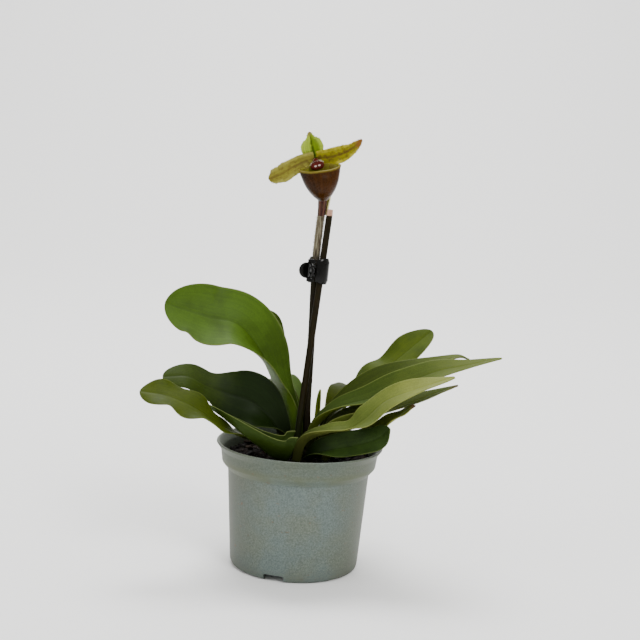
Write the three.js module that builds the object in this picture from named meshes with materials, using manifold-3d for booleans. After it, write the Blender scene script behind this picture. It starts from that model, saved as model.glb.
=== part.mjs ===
// A slipper orchid (Paphiopedilum) in flower, growing in a 9 cm nursery pot.
// Millimetres, +Z up, +X to the right, +Y to the back. The origin is the middle of the pot's base,
// on the surface that the pot stands on.

import * as THREE from 'three';
import Module from 'manifold-3d';
import { mergeVertices } from 'three/addons/utils/BufferGeometryUtils.js';

const wasm = await Module();
wasm.setup();

// ---------------------------------------------------------------- driving dimensions

const POT = {
  height: 67.5,
  lipRadius: 45,
  collarTopRadius: 42.4,
  collarLowRadius: 41.5,
  collarDepth: 11,
  bodyTopRadius: 38.2,
  bodyLowRadius: 34.8,
  baseEdgeRadius: 2.6,
  wall: 1.3,
  floor: 1.6,
  sides: 44,
};
const POT_BASE = {
  padRadius: 19,
  grooveRadius: 31,
  grooveDepth: 3.6,
  holeRadius: 3.2,
  holes: 6,
  holeRing: 25,
  notchWidth: 11,
  notchHeight: 3.6,
  notches: 3,
  firstNotch: -107,
};

const SOIL = { level: 59.3, gap: 0.3, bump: 1.7, calmRadius: 17, sides: 40, rings: 9 };

const FIT = 0.3;                    // clearance between pieces that touch

const STAKE = {
  radius: 1.75,
  tip: [9.0, 1.7, 193.5],
  low: [-2.6, -4.0, 60],
  depth: 42,
};

const SCAPE = {
  radius: 1.95,
  route: [[3.4, 3.0, 64.0], [2.8, 3.2, 88], [2.9, 3.2, 108], [3.0, 3.2, 128], [2.8, 3.1, 150],
    [3.1, 3.0, 170], [4.3, 3.0, 189]],
};

const OVARY = {
  route: [[4.4, 3.0, 189.4], [4.7, 3.4, 197], [3.9, 3.8, 206], [2.2, 3.0, 214], [0.4, 0.4, 218.6],
    [-0.5, -3.2, 219.8]],
  radii: [1.8, 2.2, 2.4, 2.3, 2.1, 2.2],
};

// The bract stands beside the ovary's foot; its rows read as a leaf's do.
const BRACT = {
  heading: 43,
  waves: 1,
  wave: 0,
  phase: 0,
  rows: [[7.0, 5.4, 190.2, 2.0, 66, 0], [7.8, 6.1, 195, 2.8, 66, 0], [8.5, 6.8, 200, 2.4, 60, 0],
    [9.1, 7.3, 205, 0.9, 30, 0]],
};

// Leaves: each row is x, y, z of the midrib, half the blade's width, the fold of each half about the
// midrib and the turn of the blade about the midrib, both in degrees. Heading is the compass way that the
// leaf grows, 0 to the right and 90 to the back.
const LEAF = { thickness: 1.0, steps: 18, across: 4 };

const LEAVES = [
  {
    name: 'leaf_left_large',
    heading: 180,
    tone: 0x5b7a2b,
    waves: 2.2,
    wave: 1.6,
    phase: 0.6,
    rows: [
      [-3.5, 2.5, 59.8, 4.2, 88, 0],
      [-6.3, 3.2, 79, 7.1, 90, 0],
      [-15, 4.8, 96.7, 11.2, 84, -16],
      [-24.3, 2.6, 115.2, 15.4, 62, -36],
      [-36.5, 0, 129.6, 18, 36, -48],
      [-53, -3, 133.4, 18.2, 18, -56],
      [-75, -8, 139.7, 16, 12, -60],
    ],
  },
  {
    name: 'leaf_left_upright',
    heading: 150,
    tone: 0x6f7a35,
    waves: 1.5,
    wave: 0.8,
    phase: 0,
    rows: [
      [-1.5, 12, 59.8, 4, 84, 0],
      [-4, 14, 77, 6, 72, 0],
      [-11, 16, 91, 7.5, 56, 0],
      [-16.4, 17, 104, 8.5, 40, -10],
      [-18.6, 17, 117, 8.5, 30, -16],
      [-20.6, 16, 128, 7.5, 28, -16],
      [-22.4, 14.5, 136.2, 6, 28, -16],
    ],
  },
  {
    name: 'leaf_left_back',
    heading: 118,
    tone: 0x4a6326,
    waves: 2,
    wave: 1,
    phase: 1.5,
    rows: [
      [2.5, 17, 59.8, 3.6, 84, 0],
      [-0.5, 22, 78, 6, 70, 0],
      [-7, 29, 88, 8.5, 46, 0],
      [-15, 40, 92, 10.5, 30, 0],
      [-21.5, 50, 91, 10, 18, 0],
      [-28, 61, 85, 7.5, 12, 0],
    ],
  },
  {
    name: 'leaf_left_dark',
    heading: 185,
    tone: 0x33481f,
    waves: 2.6,
    wave: 1.4,
    phase: 1.2,
    rows: [
      [-8.2, -2, 59.9, 3.2, 88, 0],
      [-12, -3, 73, 8, 74, -24],
      [-19, -4, 82.6, 12.8, 36, -56],
      [-28.5, -4.6, 89.8, 15.2, 12, -75],
      [-39, -6, 92.8, 13, 8, -70],
      [-50, -8.4, 96.8, 8, 6, -54],
      [-61, -11.4, 101.9, 8.5, 8, -38],
      [-74, -13.6, 101.4, 8.5, 8, -44],
    ],
  },
  {
    name: 'leaf_left_edgeways',
    heading: 184,
    tone: 0x5f7038,
    waves: 2,
    wave: 0.7,
    phase: 0,
    rows: [
      [-6.5, -18, 60.9, 18, 98, 0],
      [-13, -18.8, 63, 14.5, 96, 0],
      [-20, -19.4, 68, 10.3, 90, 0],
      [-27, -20.4, 73.2, 7.2, 90, 0],
      [-35, -20, 79.3, 5.2, 72, 6],
      [-43, -17.6, 84.4, 3.2, 60, 10],
      [-52, -15.2, 89.2, 2.2, 40, 10],
    ],
  },
  {
    name: 'leaf_left_low',
    heading: 208,
    tone: 0x5d7a26,
    waves: 4.2,
    wave: 1.8,
    phase: 2.4,
    rows: [
      [-12, 4, 59.8, 3.4, 84, 0],
      [-18, 1, 64.5, 3.4, 60, 0],
      [-28, -8, 69.8, 4.2, 30, 0],
      [-37, -17, 75.2, 4.8, 20, -16],
      [-45, -24.5, 82, 7.2, 20, -30],
      [-56, -30, 89.8, 9.6, 14, -38],
      [-69, -32.5, 95.2, 10.2, 10, -40],
      [-83, -33, 97, 8.6, 8, -42],
    ],
  },
  {
    name: 'leaf_right_far',
    heading: 30,
    tone: 0x59752a,
    waves: 2.4,
    wave: 1.2,
    phase: 0.4,
    rows: [
      [15.5, 8.5, 59.8, 4, 88, 0],
      [19, 15, 80, 5, 70, 0],
      [30, 21, 91.4, 4.8, 50, 8],
      [39.2, 26, 101.6, 8.6, 32, 16],
      [48.3, 30, 107.2, 8.6, 20, 20],
      [59.3, 34, 116.4, 10, 16, 22],
      [71.2, 38, 126.8, 8.8, 12, 24],
    ],
  },
  {
    name: 'leaf_right_hooked',
    heading: 12,
    tone: 0x3c5520,
    waves: 2,
    wave: 0.8,
    phase: 2,
    rows: [
      [10.5, 3.2, 59.8, 4, 86, 0],
      [17, 7, 81, 6, 72, 0],
      [27, 9, 91, 8, 52, 20],
      [42, 12, 101, 8.5, 40, 28],
      [58, 13, 107.4, 8, 36, 22],
      [72, 13, 112, 6, 30, 15],
      [84, 14, 116.6, 3, 16, 0],
      [90, 13, 115.8, 2, 0, 0],
    ],
  },
  {
    name: 'leaf_right_long',
    heading: 355,
    tone: 0x75854a,
    waves: 2,
    wave: 0.8,
    phase: 1,
    rows: [
      [7, -2.5, 59.8, 4, 86, 0],
      [8.5, -3, 77, 5, 74, 0],
      [20, -3, 88, 6, 54, 20],
      [36, -4, 94, 8, 40, 30],
      [52, -5.5, 102, 10, 32, 32],
      [70, -7, 111, 8.5, 26, 30],
      [87, -9, 116, 4.5, 20, 20],
      [104, -10, 121, 3, 8, 10],
    ],
  },
  {
    name: 'leaf_right_pale',
    heading: 348,
    tone: 0x8a9657,
    waves: 2.5,
    wave: 1.3,
    phase: 0,
    rows: [
      [0, -14, 59.9, 4.5, 84, 0],
      [3.5, -14.5, 71.5, 5.5, 70, 4],
      [15, -16, 77.5, 6, 50, 10],
      [26, -17.7, 80.3, 5.4, 34, 16],
      [34, -19.8, 86.8, 9.2, 22, 38],
      [44, -21.5, 97, 9, 16, 28],
      [60, -25, 105, 8, 12, 22],
      [77.6, -28.5, 112.6, 4.6, 10, 20],
    ],
  },
  {
    name: 'leaf_right_under',
    heading: 352,
    tone: 0x61743a,
    waves: 2,
    wave: 0.6,
    phase: 0,
    rows: [
      [11, -4.5, 59.8, 3.6, 86, 0],
      [14.5, -4.2, 68, 5.4, 88, 0],
      [20.5, -3.4, 75, 10.6, 84, 2],
      [30, -2.8, 80.3, 10.6, 72, 6],
      [44, -3.2, 87, 9, 44, 20],
      [65, -6, 96.5, 5.5, 26, 18],
      [82, -9, 105, 3, 14, 0],
    ],
  },
  {
    name: 'leaf_right_curled',
    heading: 345,
    tone: 0x80794a,
    waves: 3,
    wave: 1,
    phase: 0.7,
    rows: [
      [14, -9, 59.8, 3.4, 84, 0],
      [21, -10, 68, 4, 64, 6],
      [33, -12.5, 75, 5.5, 40, 24],
      [44, -16, 82.8, 5.2, 28, 26],
      [52, -18.5, 89.6, 4.4, 20, 20],
      [59, -20.5, 95.2, 2.8, 14, 14],
    ],
  },
  {
    name: 'leaf_right_rim',
    heading: 348,
    tone: 0x44572a,
    waves: 2,
    wave: 0.6,
    phase: 0.2,
    rows: [
      [5, -11, 59.9, 4.5, 84, 10],
      [12, -14.8, 66, 7.8, 62, 30],
      [22, -18.5, 69.8, 8.4, 40, 46],
      [33, -21.8, 73.6, 7.7, 24, 52],
      [41, -24.5, 77.7, 7, 12, 52],
      [46, -27.5, 83.5, 5.5, 8, 45],
    ],
  },
  {
    name: 'leaf_back_short',
    heading: 72,
    tone: 0x3f5a24,
    waves: 2,
    wave: 1,
    phase: 0.9,
    rows: [
      [14, 16, 59.8, 3.6, 84, 0],
      [17, 21, 74, 6, 68, 0],
      [21, 30, 83.5, 8.5, 46, 0],
      [25, 42, 88.5, 10, 30, 0],
      [29, 55, 88.5, 10, 18, 0],
      [33, 67, 85, 7.5, 12, 0],
    ],
  },
  {
    name: 'leaf_new_shoot',
    heading: 60,
    tone: 0x9aa33c,
    waves: 1,
    wave: 0.2,
    phase: 0,
    rows: [
      [9, 14.5, 59.8, 2.2, 92, 0],
      [9.2, 15, 72, 2.6, 90, 0],
      [9.4, 15.2, 84, 2.2, 84, 0],
      [9.5, 15, 94, 1, 70, 0],
    ],
  },
];

// Growth stems: the short stems that the leaf bases clasp, standing in the soil.
const GROWTHS = [
  { name: 'growth_stem_flowering', at: [3.3, 3.0], top: 63.2, radius: 2.4 },
  { name: 'growth_stem_front', at: [-1.6, -8.4], top: 61.5, radius: 2.2 },
  { name: 'growth_stem_back', at: [12.2, 12.2], top: 62, radius: 1.8 },
];
const GROWTH_DEPTH = 14;

// The flower has its own frame: x to its right, y up to the dorsal sepal, z out of its face.
const FLOWER = { place: [-0.5, -5.5, 219.6], roll: 18, yaw: 5, nod: 6 };
const TEPAL = { thickness: 0.8, steps: 14, across: 6 };
const TEPALS = [
  {
    name: 'petal_right',
    side: [0, 1, 0],
    tone: 0x9a9a2e,
    waves: 3.4,
    wave: 1.1,
    phase: 0.5,
    rows: [
      [0.7, 0.3, 0.9, 3.6, 4, 0],
      [6, -0.7, 1.6, 4.2, 6, -6],
      [12, -0.9, 2.2, 4.5, 8, -10],
      [17, -0.3, 2.7, 3.7, 6, -16],
      [21.5, 1.3, 2.6, 2.4, 4, -20],
      [26, 3.6, 1.6, 1.2, 2, -20],
    ],
  },
  {
    name: 'petal_left',
    side: [0, -1, 0],
    tone: 0x9a9a2e,
    waves: 3.4,
    wave: 1.1,
    phase: 2.2,
    rows: [
      [-0.3, 0.3, 0.9, 3.6, 4, 0],
      [-6, 0.2, 1.8, 4, 6, 8],
      [-12, -0.9, 2.8, 4.4, 8, 14],
      [-17, -2.4, 3, 4.8, 6, 18],
      [-21.5, -3.2, 2.6, 4.2, 4, 20],
      [-26, -4, 1.6, 3, 2, 20],
    ],
  },
  {
    name: 'dorsal_sepal',
    side: [-1, 0, 0],
    tone: 0x7fae3a,
    waves: 1.5,
    wave: 0.4,
    phase: 0,
    rows: [
      [0, 0.4, -0.9, 2.6, 4, 0],
      [0, 4.4, -0.6, 5.8, -6, 0],
      [0, 8.2, 2.2, 5.1, -24, 0],
      [0, 11.6, 6.4, 2.2, -28, 0],
      [-0.2, 15.2, 10.6, 1, -10, 0],
    ],
  },
  {
    name: 'synsepal',
    side: [-1, 0, 0],
    tone: 0x93a84e,
    waves: 1,
    wave: 0.3,
    phase: 0,
    rows: [
      [0, -3.1, -0.55, 2.2, 5, 180],
      [-0.4, -8, -1.8, 5.2, 14, 180],
      [-0.9, -13, -2.2, 5.6, 14, 180],
      [-1.6, -19.5, -2, 2, 8, 180],
    ],
  },
];

// Pouch: at each depth below its rim, half its width, half its depth from front to back, and how far its
// middle lies out from the flower's face. Its rim rises to a horn at each side and to the column behind.
const POUCH = {
  sides: 28,
  wall: 0.8,
  rim: [0.6, -5.0],
  turn: -7.5,
  rings: [[0, 11.2, 6.6, 8.8], [1.6, 10.5, 6.6, 9.0], [4.5, 9.6, 7.0, 9.4], [8, 8.3, 7.1, 9.5],
    [11, 6.7, 6.4, 9.3], [13.6, 4.8, 4.8, 8.9], [15.4, 3.0, 3.0, 8.5]],
  toe: [16.4, 8.3],
  hornLift: 1.2,
  backLift: 2.2,
};
const COLUMN = {
  root: 1.6,
  radius: 1.4,
  reach: 5,
  shieldWidth: 7.2,
  shieldHeight: 4.9,
  shieldThick: 1.1,
  shieldDrop: 3.1,
};

// Claw clip that holds the flower stem to the stake. Its pin runs along the stems.
const CLIP = {
  middle: [4.5, 1.7, 160.8],
  lean: [0.045, 0.02, 1],
  hingeReach: 5.6,
  hingeAngle: 237,
  innerRadius: 4.4,
  wall: 1.3,
  wallFrom: 19,
  wallTo: 120,
  clawFrom: 100,
  clawTo: 188,
  height: 14,
  clawHeight: 1.6,
  tabLength: 7.6,
  tabHeight: 8.4,
  tabSpread: 34,
  tabThick: 1.3,
  pinRadius: 0.6,
  pinClearance: 0.15,
  knuckleRadius: 1.5,
  ovalMiddle: 6,
  ovalReach: 9.6,
  ovalRise: 7.3,
  pinLength: 11.8,
};
const CLIP_FIXED = { sense: -1, claws: [-2.2, 2.2], knuckles: [[-5.9, -3.6], [3.6, 5.9]] };
const CLIP_MOVING = { sense: 1, claws: [-4.4, 0, 4.4], knuckles: [[-3.3, -1.6], [1.6, 3.3]] };
const SPRING = { wire: 0.22, radius: 1.08, turns: 3.5, pitch: 0.6 };

// ---------------------------------------------------------------- colours

const surface = (color, roughness, metalness = 0) =>
  new THREE.MeshStandardMaterial({ color, roughness, metalness });
const SURFACES = {
  pot: surface(0x7a8682, 0.55),
  soil: surface(0x2e1d15, 0.95),
  stake: surface(0x1f2a1c, 0.6),
  scape: surface(0x3a2a24, 0.8),
  ovary: surface(0x4b2a20, 0.8),
  bract: surface(0x9aa24c, 0.6),
  growth: surface(0x8a9352, 0.7),
  pouch: surface(0x4a2a18, 0.4),
  column: surface(0x6a1a18, 0.45),
  clip: surface(0x14161a, 0.25),
  steel: surface(0xb9c2c9, 0.3, 1),
};

// ---------------------------------------------------------------- geometry helpers

const radians = THREE.MathUtils.degToRad;
const polar = (radius, degrees) =>
  [radius * Math.cos(radians(degrees)), radius * Math.sin(radians(degrees))];

/** The row of numbers at t, from 0 to 1, along a smooth curve through the rows. */
function rowAt(rows, t) {
  const last = rows.length - 1;
  const i = Math.min(Math.floor(t * last), last - 1);
  const f = t * last - i;
  const [a, b] = [rows[i], rows[i + 1]];
  const before = rows[i - 1] ?? a.map((x, k) => 2 * x - b[k]);
  const after = rows[i + 2] ?? b.map((x, k) => 2 * x - a[k]);
  return a.map((x, k) => x + 0.5 * f * (b[k] - before[k]
    + f * (2 * before[k] - 5 * x + 4 * b[k] - after[k]
    + f * (3 * (x - b[k]) + after[k] - before[k]))));
}

/** A closed mesh from its points and triangles, turned inside out where its faces point inwards. */
function closedMesh(points, triangles) {
  const volume = triangles.reduce((sum, [a, b, c]) =>
    sum + points[a].dot(new THREE.Vector3().crossVectors(points[b], points[c])), 0);
  const faces = volume < 0 ? triangles.map(([a, b, c]) => [a, c, b]) : triangles;
  const geometry = new THREE.BufferGeometry().setFromPoints(points);
  geometry.setIndex(faces.flat());
  return geometry;
}

/** A closed skin over rings of points, one after another, with a point or a flat cap at each end. */
function loft(rings, startPoint = null, endPoint = null) {
  const count = rings[0].length;
  const middle = (ring) => ring.reduce((sum, p) => sum.add(p), new THREE.Vector3()).divideScalar(count);
  const points = [...rings.flat(), startPoint ?? middle(rings[0]), endPoint ?? middle(rings.at(-1))];
  const start = points.length - 2;
  const end = points.length - 1;
  const triangles = [];
  for (let j = 0; j < count; j += 1) {
    const k = (j + 1) % count;
    triangles.push([start, k, j]);
    for (let i = 0; i + 1 < rings.length; i += 1) {
      const [a, b] = [i * count + j, i * count + k];
      triangles.push([a, b, b + count], [a, b + count, a + count]);
    }
    const last = (rings.length - 1) * count;
    triangles.push([end, last + j, last + k]);
  }
  return closedMesh(points, triangles);
}

/** A tube through the points, with a radius at each. It never runs along `east`. */
function tube(route, radii, sides, steps, east = new THREE.Vector3(1, 0, 0)) {
  const rows = route.map((p, i) => [...p, Array.isArray(radii) ? radii[i] : radii]);
  const rings = [];
  for (let i = 0; i <= steps; i += 1) {
    const t = i / steps;
    const [x, y, z, radius] = rowAt(rows, t);
    const ahead = new THREE.Vector3(...rowAt(rows, Math.min(t + 0.01, 1)));
    const along = ahead.sub(new THREE.Vector3(...rowAt(rows, Math.max(t - 0.01, 0)))).normalize();
    const side = east.clone().addScaledVector(along, -east.dot(along)).normalize();
    const up = new THREE.Vector3().crossVectors(along, side);
    rings.push(Array.from({ length: sides }, (_, k) => {
      const [c, s] = polar(radius, 360 * k / sides);
      return new THREE.Vector3(x, y, z).addScaledVector(side, c).addScaledVector(up, s);
    }));
  }
  return loft(rings);
}

/** A round piece turned about Z from its outline of [radius, height] points, from axis to axis. */
function turned(outline, sides) {
  const lathe = new THREE.LatheGeometry(outline.map(([r, z]) => new THREE.Vector2(r, z)), sides);
  return lathe.rotateX(Math.PI / 2);
}

/** A solid for cutting and joining, from a closed geometry. */
function solid(geometry) {
  const bare = geometry.clone();
  bare.deleteAttribute('normal');
  bare.deleteAttribute('uv');
  const merged = mergeVertices(bare, 1e-4);
  const made = new wasm.Manifold(new wasm.Mesh({
    numProp: 3,
    vertProperties: Float32Array.from(merged.attributes.position.array),
    triVerts: Uint32Array.from(merged.index.array),
  }));
  return made;
}

/** The geometry of a solid. */
function geometryOf(made) {
  const mesh = made.getMesh();
  const geometry = new THREE.BufferGeometry();
  geometry.setAttribute('position', new THREE.BufferAttribute(mesh.vertProperties, 3));
  geometry.setIndex(new THREE.BufferAttribute(mesh.triVerts, 1));
  return geometry;
}

/** Where a half blade's section lies at v, 0 at the midrib and 1 at the margin: how far out and up.
 * Its slope grows evenly from a share of the fold at the midrib to the whole fold at the margin. */
function section(v, fold) {
  const crease = 0.35 * fold;
  const bend = fold - crease;
  if (Math.abs(bend) < 1e-3) return [v, 0];
  const slope = crease + bend * v;
  return [(Math.sin(slope) - Math.sin(crease)) / bend, (Math.cos(crease) - Math.cos(slope)) / bend];
}

/** Rounds a blade's end: the share of its width that is left at s. */
function tipShare(s) {
  const start = 0.8;
  return s < start ? 1 : Math.max(0.16, Math.sqrt(1 - ((s - start) / (1 - start)) ** 2.4));
}

/** A leaf, petal or sepal: a thin closed blade along its midrib, folded, turned and waved. */
function blade({ rows, side, waves, wave, phase }, { thickness, steps, across }) {
  const lean = new THREE.Vector3(...side);
  const widest = Math.max(...rows.map((row) => row[3]));
  const middle = [];
  for (let i = 0; i <= steps; i += 1) {
    const s = 1 - (1 - i / steps) ** 1.25;
    const [x, y, z, half, fold, turn] = rowAt(rows, s);
    const ahead = new THREE.Vector3(...rowAt(rows, Math.min(s + 0.005, 1)));
    const along = ahead.sub(new THREE.Vector3(...rowAt(rows, Math.max(s - 0.005, 0)))).normalize();
    const flat = lean.clone().addScaledVector(along, -lean.dot(along)).normalize();
    flat.applyAxisAngle(along, radians(turn));
    const face = new THREE.Vector3().crossVectors(along, flat);
    const width = half * tipShare(s);
    const ripple = wave * Math.min(1, s / 0.4) * width / widest;
    middle.push(Array.from({ length: across + 1 }, (_, j) => {
      const v = 2 * j / across - 1;
      const shift = v > 0 ? 1.3 : 0;
      const [out, up] = section(Math.abs(v), radians(fold));
      const lift = width * up + ripple * v * v * Math.sin(2 * Math.PI * waves * s + phase + shift);
      return new THREE.Vector3(x, y, z).addScaledVector(flat, width * out * Math.sign(v))
        .addScaledVector(face, lift);
    }));
  }
  return plate(middle, thickness);
}

/** A closed plate of even thickness on both sides of a grid of points. */
function plate(middle, thickness) {
  const [rows, columns] = [middle.length, middle[0].length];
  const normal = (i, j) => {
    const along = middle[Math.min(i + 1, rows - 1)][j].clone().sub(middle[Math.max(i - 1, 0)][j]);
    const over = middle[i][Math.min(j + 1, columns - 1)].clone().sub(middle[i][Math.max(j - 1, 0)]);
    return along.cross(over).normalize();
  };
  const face = (offset) => middle.flatMap((row, i) =>
    row.map((point, j) => point.clone().addScaledVector(normal(i, j), offset)));
  const points = [...face(thickness / 2), ...face(-thickness / 2)];
  const under = rows * columns;
  const triangles = [];
  const rim = [];
  for (let i = 0; i + 1 < rows; i += 1) {
    for (let j = 0; j + 1 < columns; j += 1) {
      const a = i * columns + j;
      const [b, c, d] = [a + 1, a + columns + 1, a + columns];
      const leaning = (i < rows / 2) === (j < (columns - 1) / 2);
      const pair = leaning ? [[a, b, c], [a, c, d]] : [[a, b, d], [b, c, d]];
      triangles.push(...pair, ...pair.map((t) => [t[0] + under, t[2] + under, t[1] + under]));
    }
  }
  for (let j = 0; j + 1 < columns; j += 1) rim.push([j + 1, j]);
  for (let i = 0; i + 1 < rows; i += 1) rim.push([i * columns, (i + 1) * columns]);
  const top = (rows - 1) * columns;
  for (let j = 0; j + 1 < columns; j += 1) rim.push([top + j, top + j + 1]);
  for (let i = rows - 1; i > 0; i -= 1) rim.push([(i + 1) * columns - 1, i * columns - 1]);
  rim.forEach(([a, b]) => triangles.push([a, b, b + under], [a, b + under, a + under]));
  return closedMesh(points, triangles);
}

// ---------------------------------------------------------------- pot and soil

const collarLow = POT.height - POT.collarDepth;
const shoulderLow = collarLow - 3.6;
const innerTop = POT.collarTopRadius - POT.wall;
const innerLow = POT.bodyLowRadius - POT.wall;

/** The pot's shell: raised ring under its floor, tapered body, shoulder, collar and flared lip. */
function potShell() {
  const { padRadius, grooveRadius, grooveDepth } = POT_BASE;
  const floorTop = grooveDepth + POT.floor;
  return turned([
    [0, 0],
    [padRadius, 0],
    [padRadius + 1.5, grooveDepth],
    [grooveRadius - 1, grooveDepth],
    [grooveRadius, 0],
    [POT.bodyLowRadius - POT.baseEdgeRadius * 0.8, 0],
    [POT.bodyLowRadius - POT.baseEdgeRadius * 0.25, POT.baseEdgeRadius * 0.3],
    [POT.bodyLowRadius, POT.baseEdgeRadius],
    [POT.bodyTopRadius, shoulderLow],
    [POT.bodyTopRadius + 1.2, shoulderLow + 1.2],
    [POT.collarLowRadius, collarLow],
    [POT.collarTopRadius, POT.height - 4.2],
    [POT.lipRadius - 0.8, POT.height - 1.6],
    [POT.lipRadius, POT.height - 0.7],
    [POT.lipRadius - 0.5, POT.height],
    [POT.lipRadius - 1.6, POT.height - 0.3],
    [innerTop, POT.height - 4.2],
    [POT.collarLowRadius - POT.wall, collarLow],
    [POT.bodyTopRadius - POT.wall, shoulderLow],
    [innerLow, floorTop + 1.5],
    [innerLow - 1.5, floorTop],
    [0, floorTop],
  ], POT.sides);
}

/** The pot, with drain holes through its floor and notches under its edge. */
function pot() {
  const { holes, holeRadius, holeRing, notches, notchWidth, notchHeight, firstNotch } = POT_BASE;
  let body = solid(potShell());
  for (let i = 0; i < holes; i += 1) {
    const [x, y] = polar(holeRing, 360 * i / holes);
    const cutter = new THREE.CylinderGeometry(holeRadius, holeRadius, 20, 12).rotateX(Math.PI / 2);
    body = body.subtract(solid(cutter.translate(x, y, 0)));
  }
  for (let i = 0; i < notches; i += 1) {
    const angle = firstNotch + 360 * i / notches;
    const cutter = new THREE.BoxGeometry(12, notchWidth, 2 * notchHeight).rotateZ(radians(angle));
    const [x, y] = polar(POT.bodyLowRadius - 1, angle);
    body = body.subtract(solid(cutter.translate(x, y, 0)));
  }
  return geometryOf(body);
}

/** Height of the soil's top: rough bark, calmer where the plants stand. */
function soilHeight(x, y) {
  const calm = Math.min(1, Math.max(0, (Math.hypot(x, y) - SOIL.calmRadius) / 8));
  const rough = Math.sin(0.9 * x + 1.3) * Math.cos(0.8 * y + 0.4) + 0.6 * Math.sin(1.7 * x - 1.1 * y);
  return SOIL.level + SOIL.bump * 0.6 * calm * rough;
}

/** The bark mix, filling the pot up to below its collar, with holes for what stands in it. */
function soil() {
  const innerRadius = (z) => {
    const [low, high] = [POT_BASE.grooveDepth + POT.floor + 1.5, shoulderLow];
    const taper = innerLow + (POT.bodyTopRadius - POT.wall - innerLow) * (z - low) / (high - low);
    const shoulder = (z - shoulderLow) / (collarLow - shoulderLow);
    const step = POT.collarLowRadius - POT.bodyTopRadius;
    return z < shoulderLow ? taper : POT.bodyTopRadius - POT.wall + step * Math.min(1, shoulder);
  };
  const bottom = POT_BASE.grooveDepth + POT.floor + SOIL.gap;
  const ring = (radius, height) => Array.from({ length: SOIL.sides }, (_, k) => {
    const [x, y] = polar(radius, 360 * k / SOIL.sides);
    return new THREE.Vector3(x, y, height ?? soilHeight(x, y));
  });
  const walls = [bottom + 1.6, shoulderLow - 0.3, collarLow + 0.3];
  const gap = SOIL.gap + 0.35;
  const rings = [ring(innerLow - 2.4, bottom), ...walls.map((z) => ring(innerRadius(z - 0.4) - gap, z))];
  const topRadius = POT.collarLowRadius - POT.wall - gap;
  for (let i = SOIL.rings; i > 0; i -= 1) rings.push(ring(topRadius * i / SOIL.rings));
  let body = solid(loft(rings, new THREE.Vector3(0, 0, bottom), new THREE.Vector3(0, 0, SOIL.level)));
  GROWTHS.forEach(({ at, radius }) => {
    const bore = radius + FIT;
    const hole = new THREE.CylinderGeometry(bore, bore, GROWTH_DEPTH + 4, 14).rotateX(Math.PI / 2);
    body = body.subtract(solid(hole.translate(at[0], at[1], SOIL.level - GROWTH_DEPTH / 2 + 1.7)));
  });
  return geometryOf(body.subtract(solid(stakeTube(STAKE.radius + FIT, FIT))));
}

// ---------------------------------------------------------------- stems, stake and leaves

/** The stake as a straight tube, its lower end pushed on by a little where it cuts its own hole. */
function stakeTube(radius, longer) {
  const tip = new THREE.Vector3(...STAKE.tip);
  const low = new THREE.Vector3(...STAKE.low);
  const along = low.clone().sub(tip).normalize();
  const end = low.clone().addScaledVector(along, STAKE.depth + longer);
  return tube([tip.toArray(), end.toArray()], radius, 12, 1);
}

/** A growth stem, a little domed, standing in its hole. */
function growthStem({ at, top, radius }) {
  const low = SOIL.level - GROWTH_DEPTH;
  const outline = [[0, low], [radius * 0.7, low], [radius, low + 2], [radius, top - 1.5],
    [radius * 0.6, top - 0.3], [0, top]];
  return turned(outline, 12).translate(at[0], at[1], 0);
}

/** The pointed bract that clasps the foot of the ovary. */
function bract() {
  const side = [-Math.sin(radians(BRACT.heading)), Math.cos(radians(BRACT.heading)), 0];
  return blade({ ...BRACT, side }, { ...TEPAL, steps: 8, across: 4 });
}

// ---------------------------------------------------------------- flower

/** The slipper-shaped pouch: a thin cup that narrows to its toe, its rim rising at the sides and back. */
function pouch() {
  const ring = ([depth, halfWidth, halfDepth, out], inset) => {
    const open = Math.max(0, 1 - depth / 6);
    return Array.from({ length: POUCH.sides }, (_, k) => {
      const [c, s] = polar(1, 360 * k / POUCH.sides);
      const lift = open * (POUCH.hornLift * c ** 4 + POUCH.backLift * Math.max(0, -s) ** 2);
      return new THREE.Vector3((halfWidth - inset) * c, lift - depth, out + (halfDepth - inset) * s);
    });
  };
  const inner = POUCH.rings.map((row) => ring(row, POUCH.wall)).reverse();
  const outer = POUCH.rings.map((row) => ring(row, 0));
  const [depth, out] = POUCH.toe;
  const cup = loft([...inner, ...outer], new THREE.Vector3(0, POUCH.wall - depth, out),
    new THREE.Vector3(0, -depth, out));
  return cup.rotateZ(radians(POUCH.turn)).translate(...POUCH.rim, 0);
}

/** The column with its shield, which half closes the pouch. */
function column() {
  const { root, radius, reach, shieldWidth, shieldHeight, shieldThick, shieldDrop } = COLUMN;
  const stalk = new THREE.CylinderGeometry(radius, radius, reach - root, 10).rotateX(Math.PI / 2);
  stalk.translate(0, -0.9, (root + reach) / 2);
  const shield = new THREE.SphereGeometry(1, 16, 10).scale(shieldWidth / 2, shieldHeight / 2, shieldThick);
  shield.rotateX(radians(-12)).translate(0, -shieldDrop, reach);
  return geometryOf(solid(stalk).add(solid(shield)));
}

// ---------------------------------------------------------------- claw clip

const [hingeX, hingeY] = polar(CLIP.hingeReach, CLIP.hingeAngle);

/** A curved strip of the clip's wall between two angles round the stems, from one height to another. */
function wallStrip(from, to, low, high) {
  const shape = new THREE.Shape();
  shape.absarc(0, 0, CLIP.innerRadius + CLIP.wall, radians(from), radians(to), from > to);
  shape.absarc(0, 0, CLIP.innerRadius, radians(to), radians(from), to > from);
  const options = { depth: high - low, bevelEnabled: false, curveSegments: 7 };
  return solid(new THREE.ExtrudeGeometry(shape, options).translate(0, 0, low));
}

/** A round bar along the hinge, from one height to another. */
function hingeBar(radius, low, high, sides = 10) {
  const bar = new THREE.CylinderGeometry(radius, radius, high - low, sides).rotateX(Math.PI / 2);
  return bar.translate(hingeX, hingeY, (low + high) / 2);
}

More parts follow.
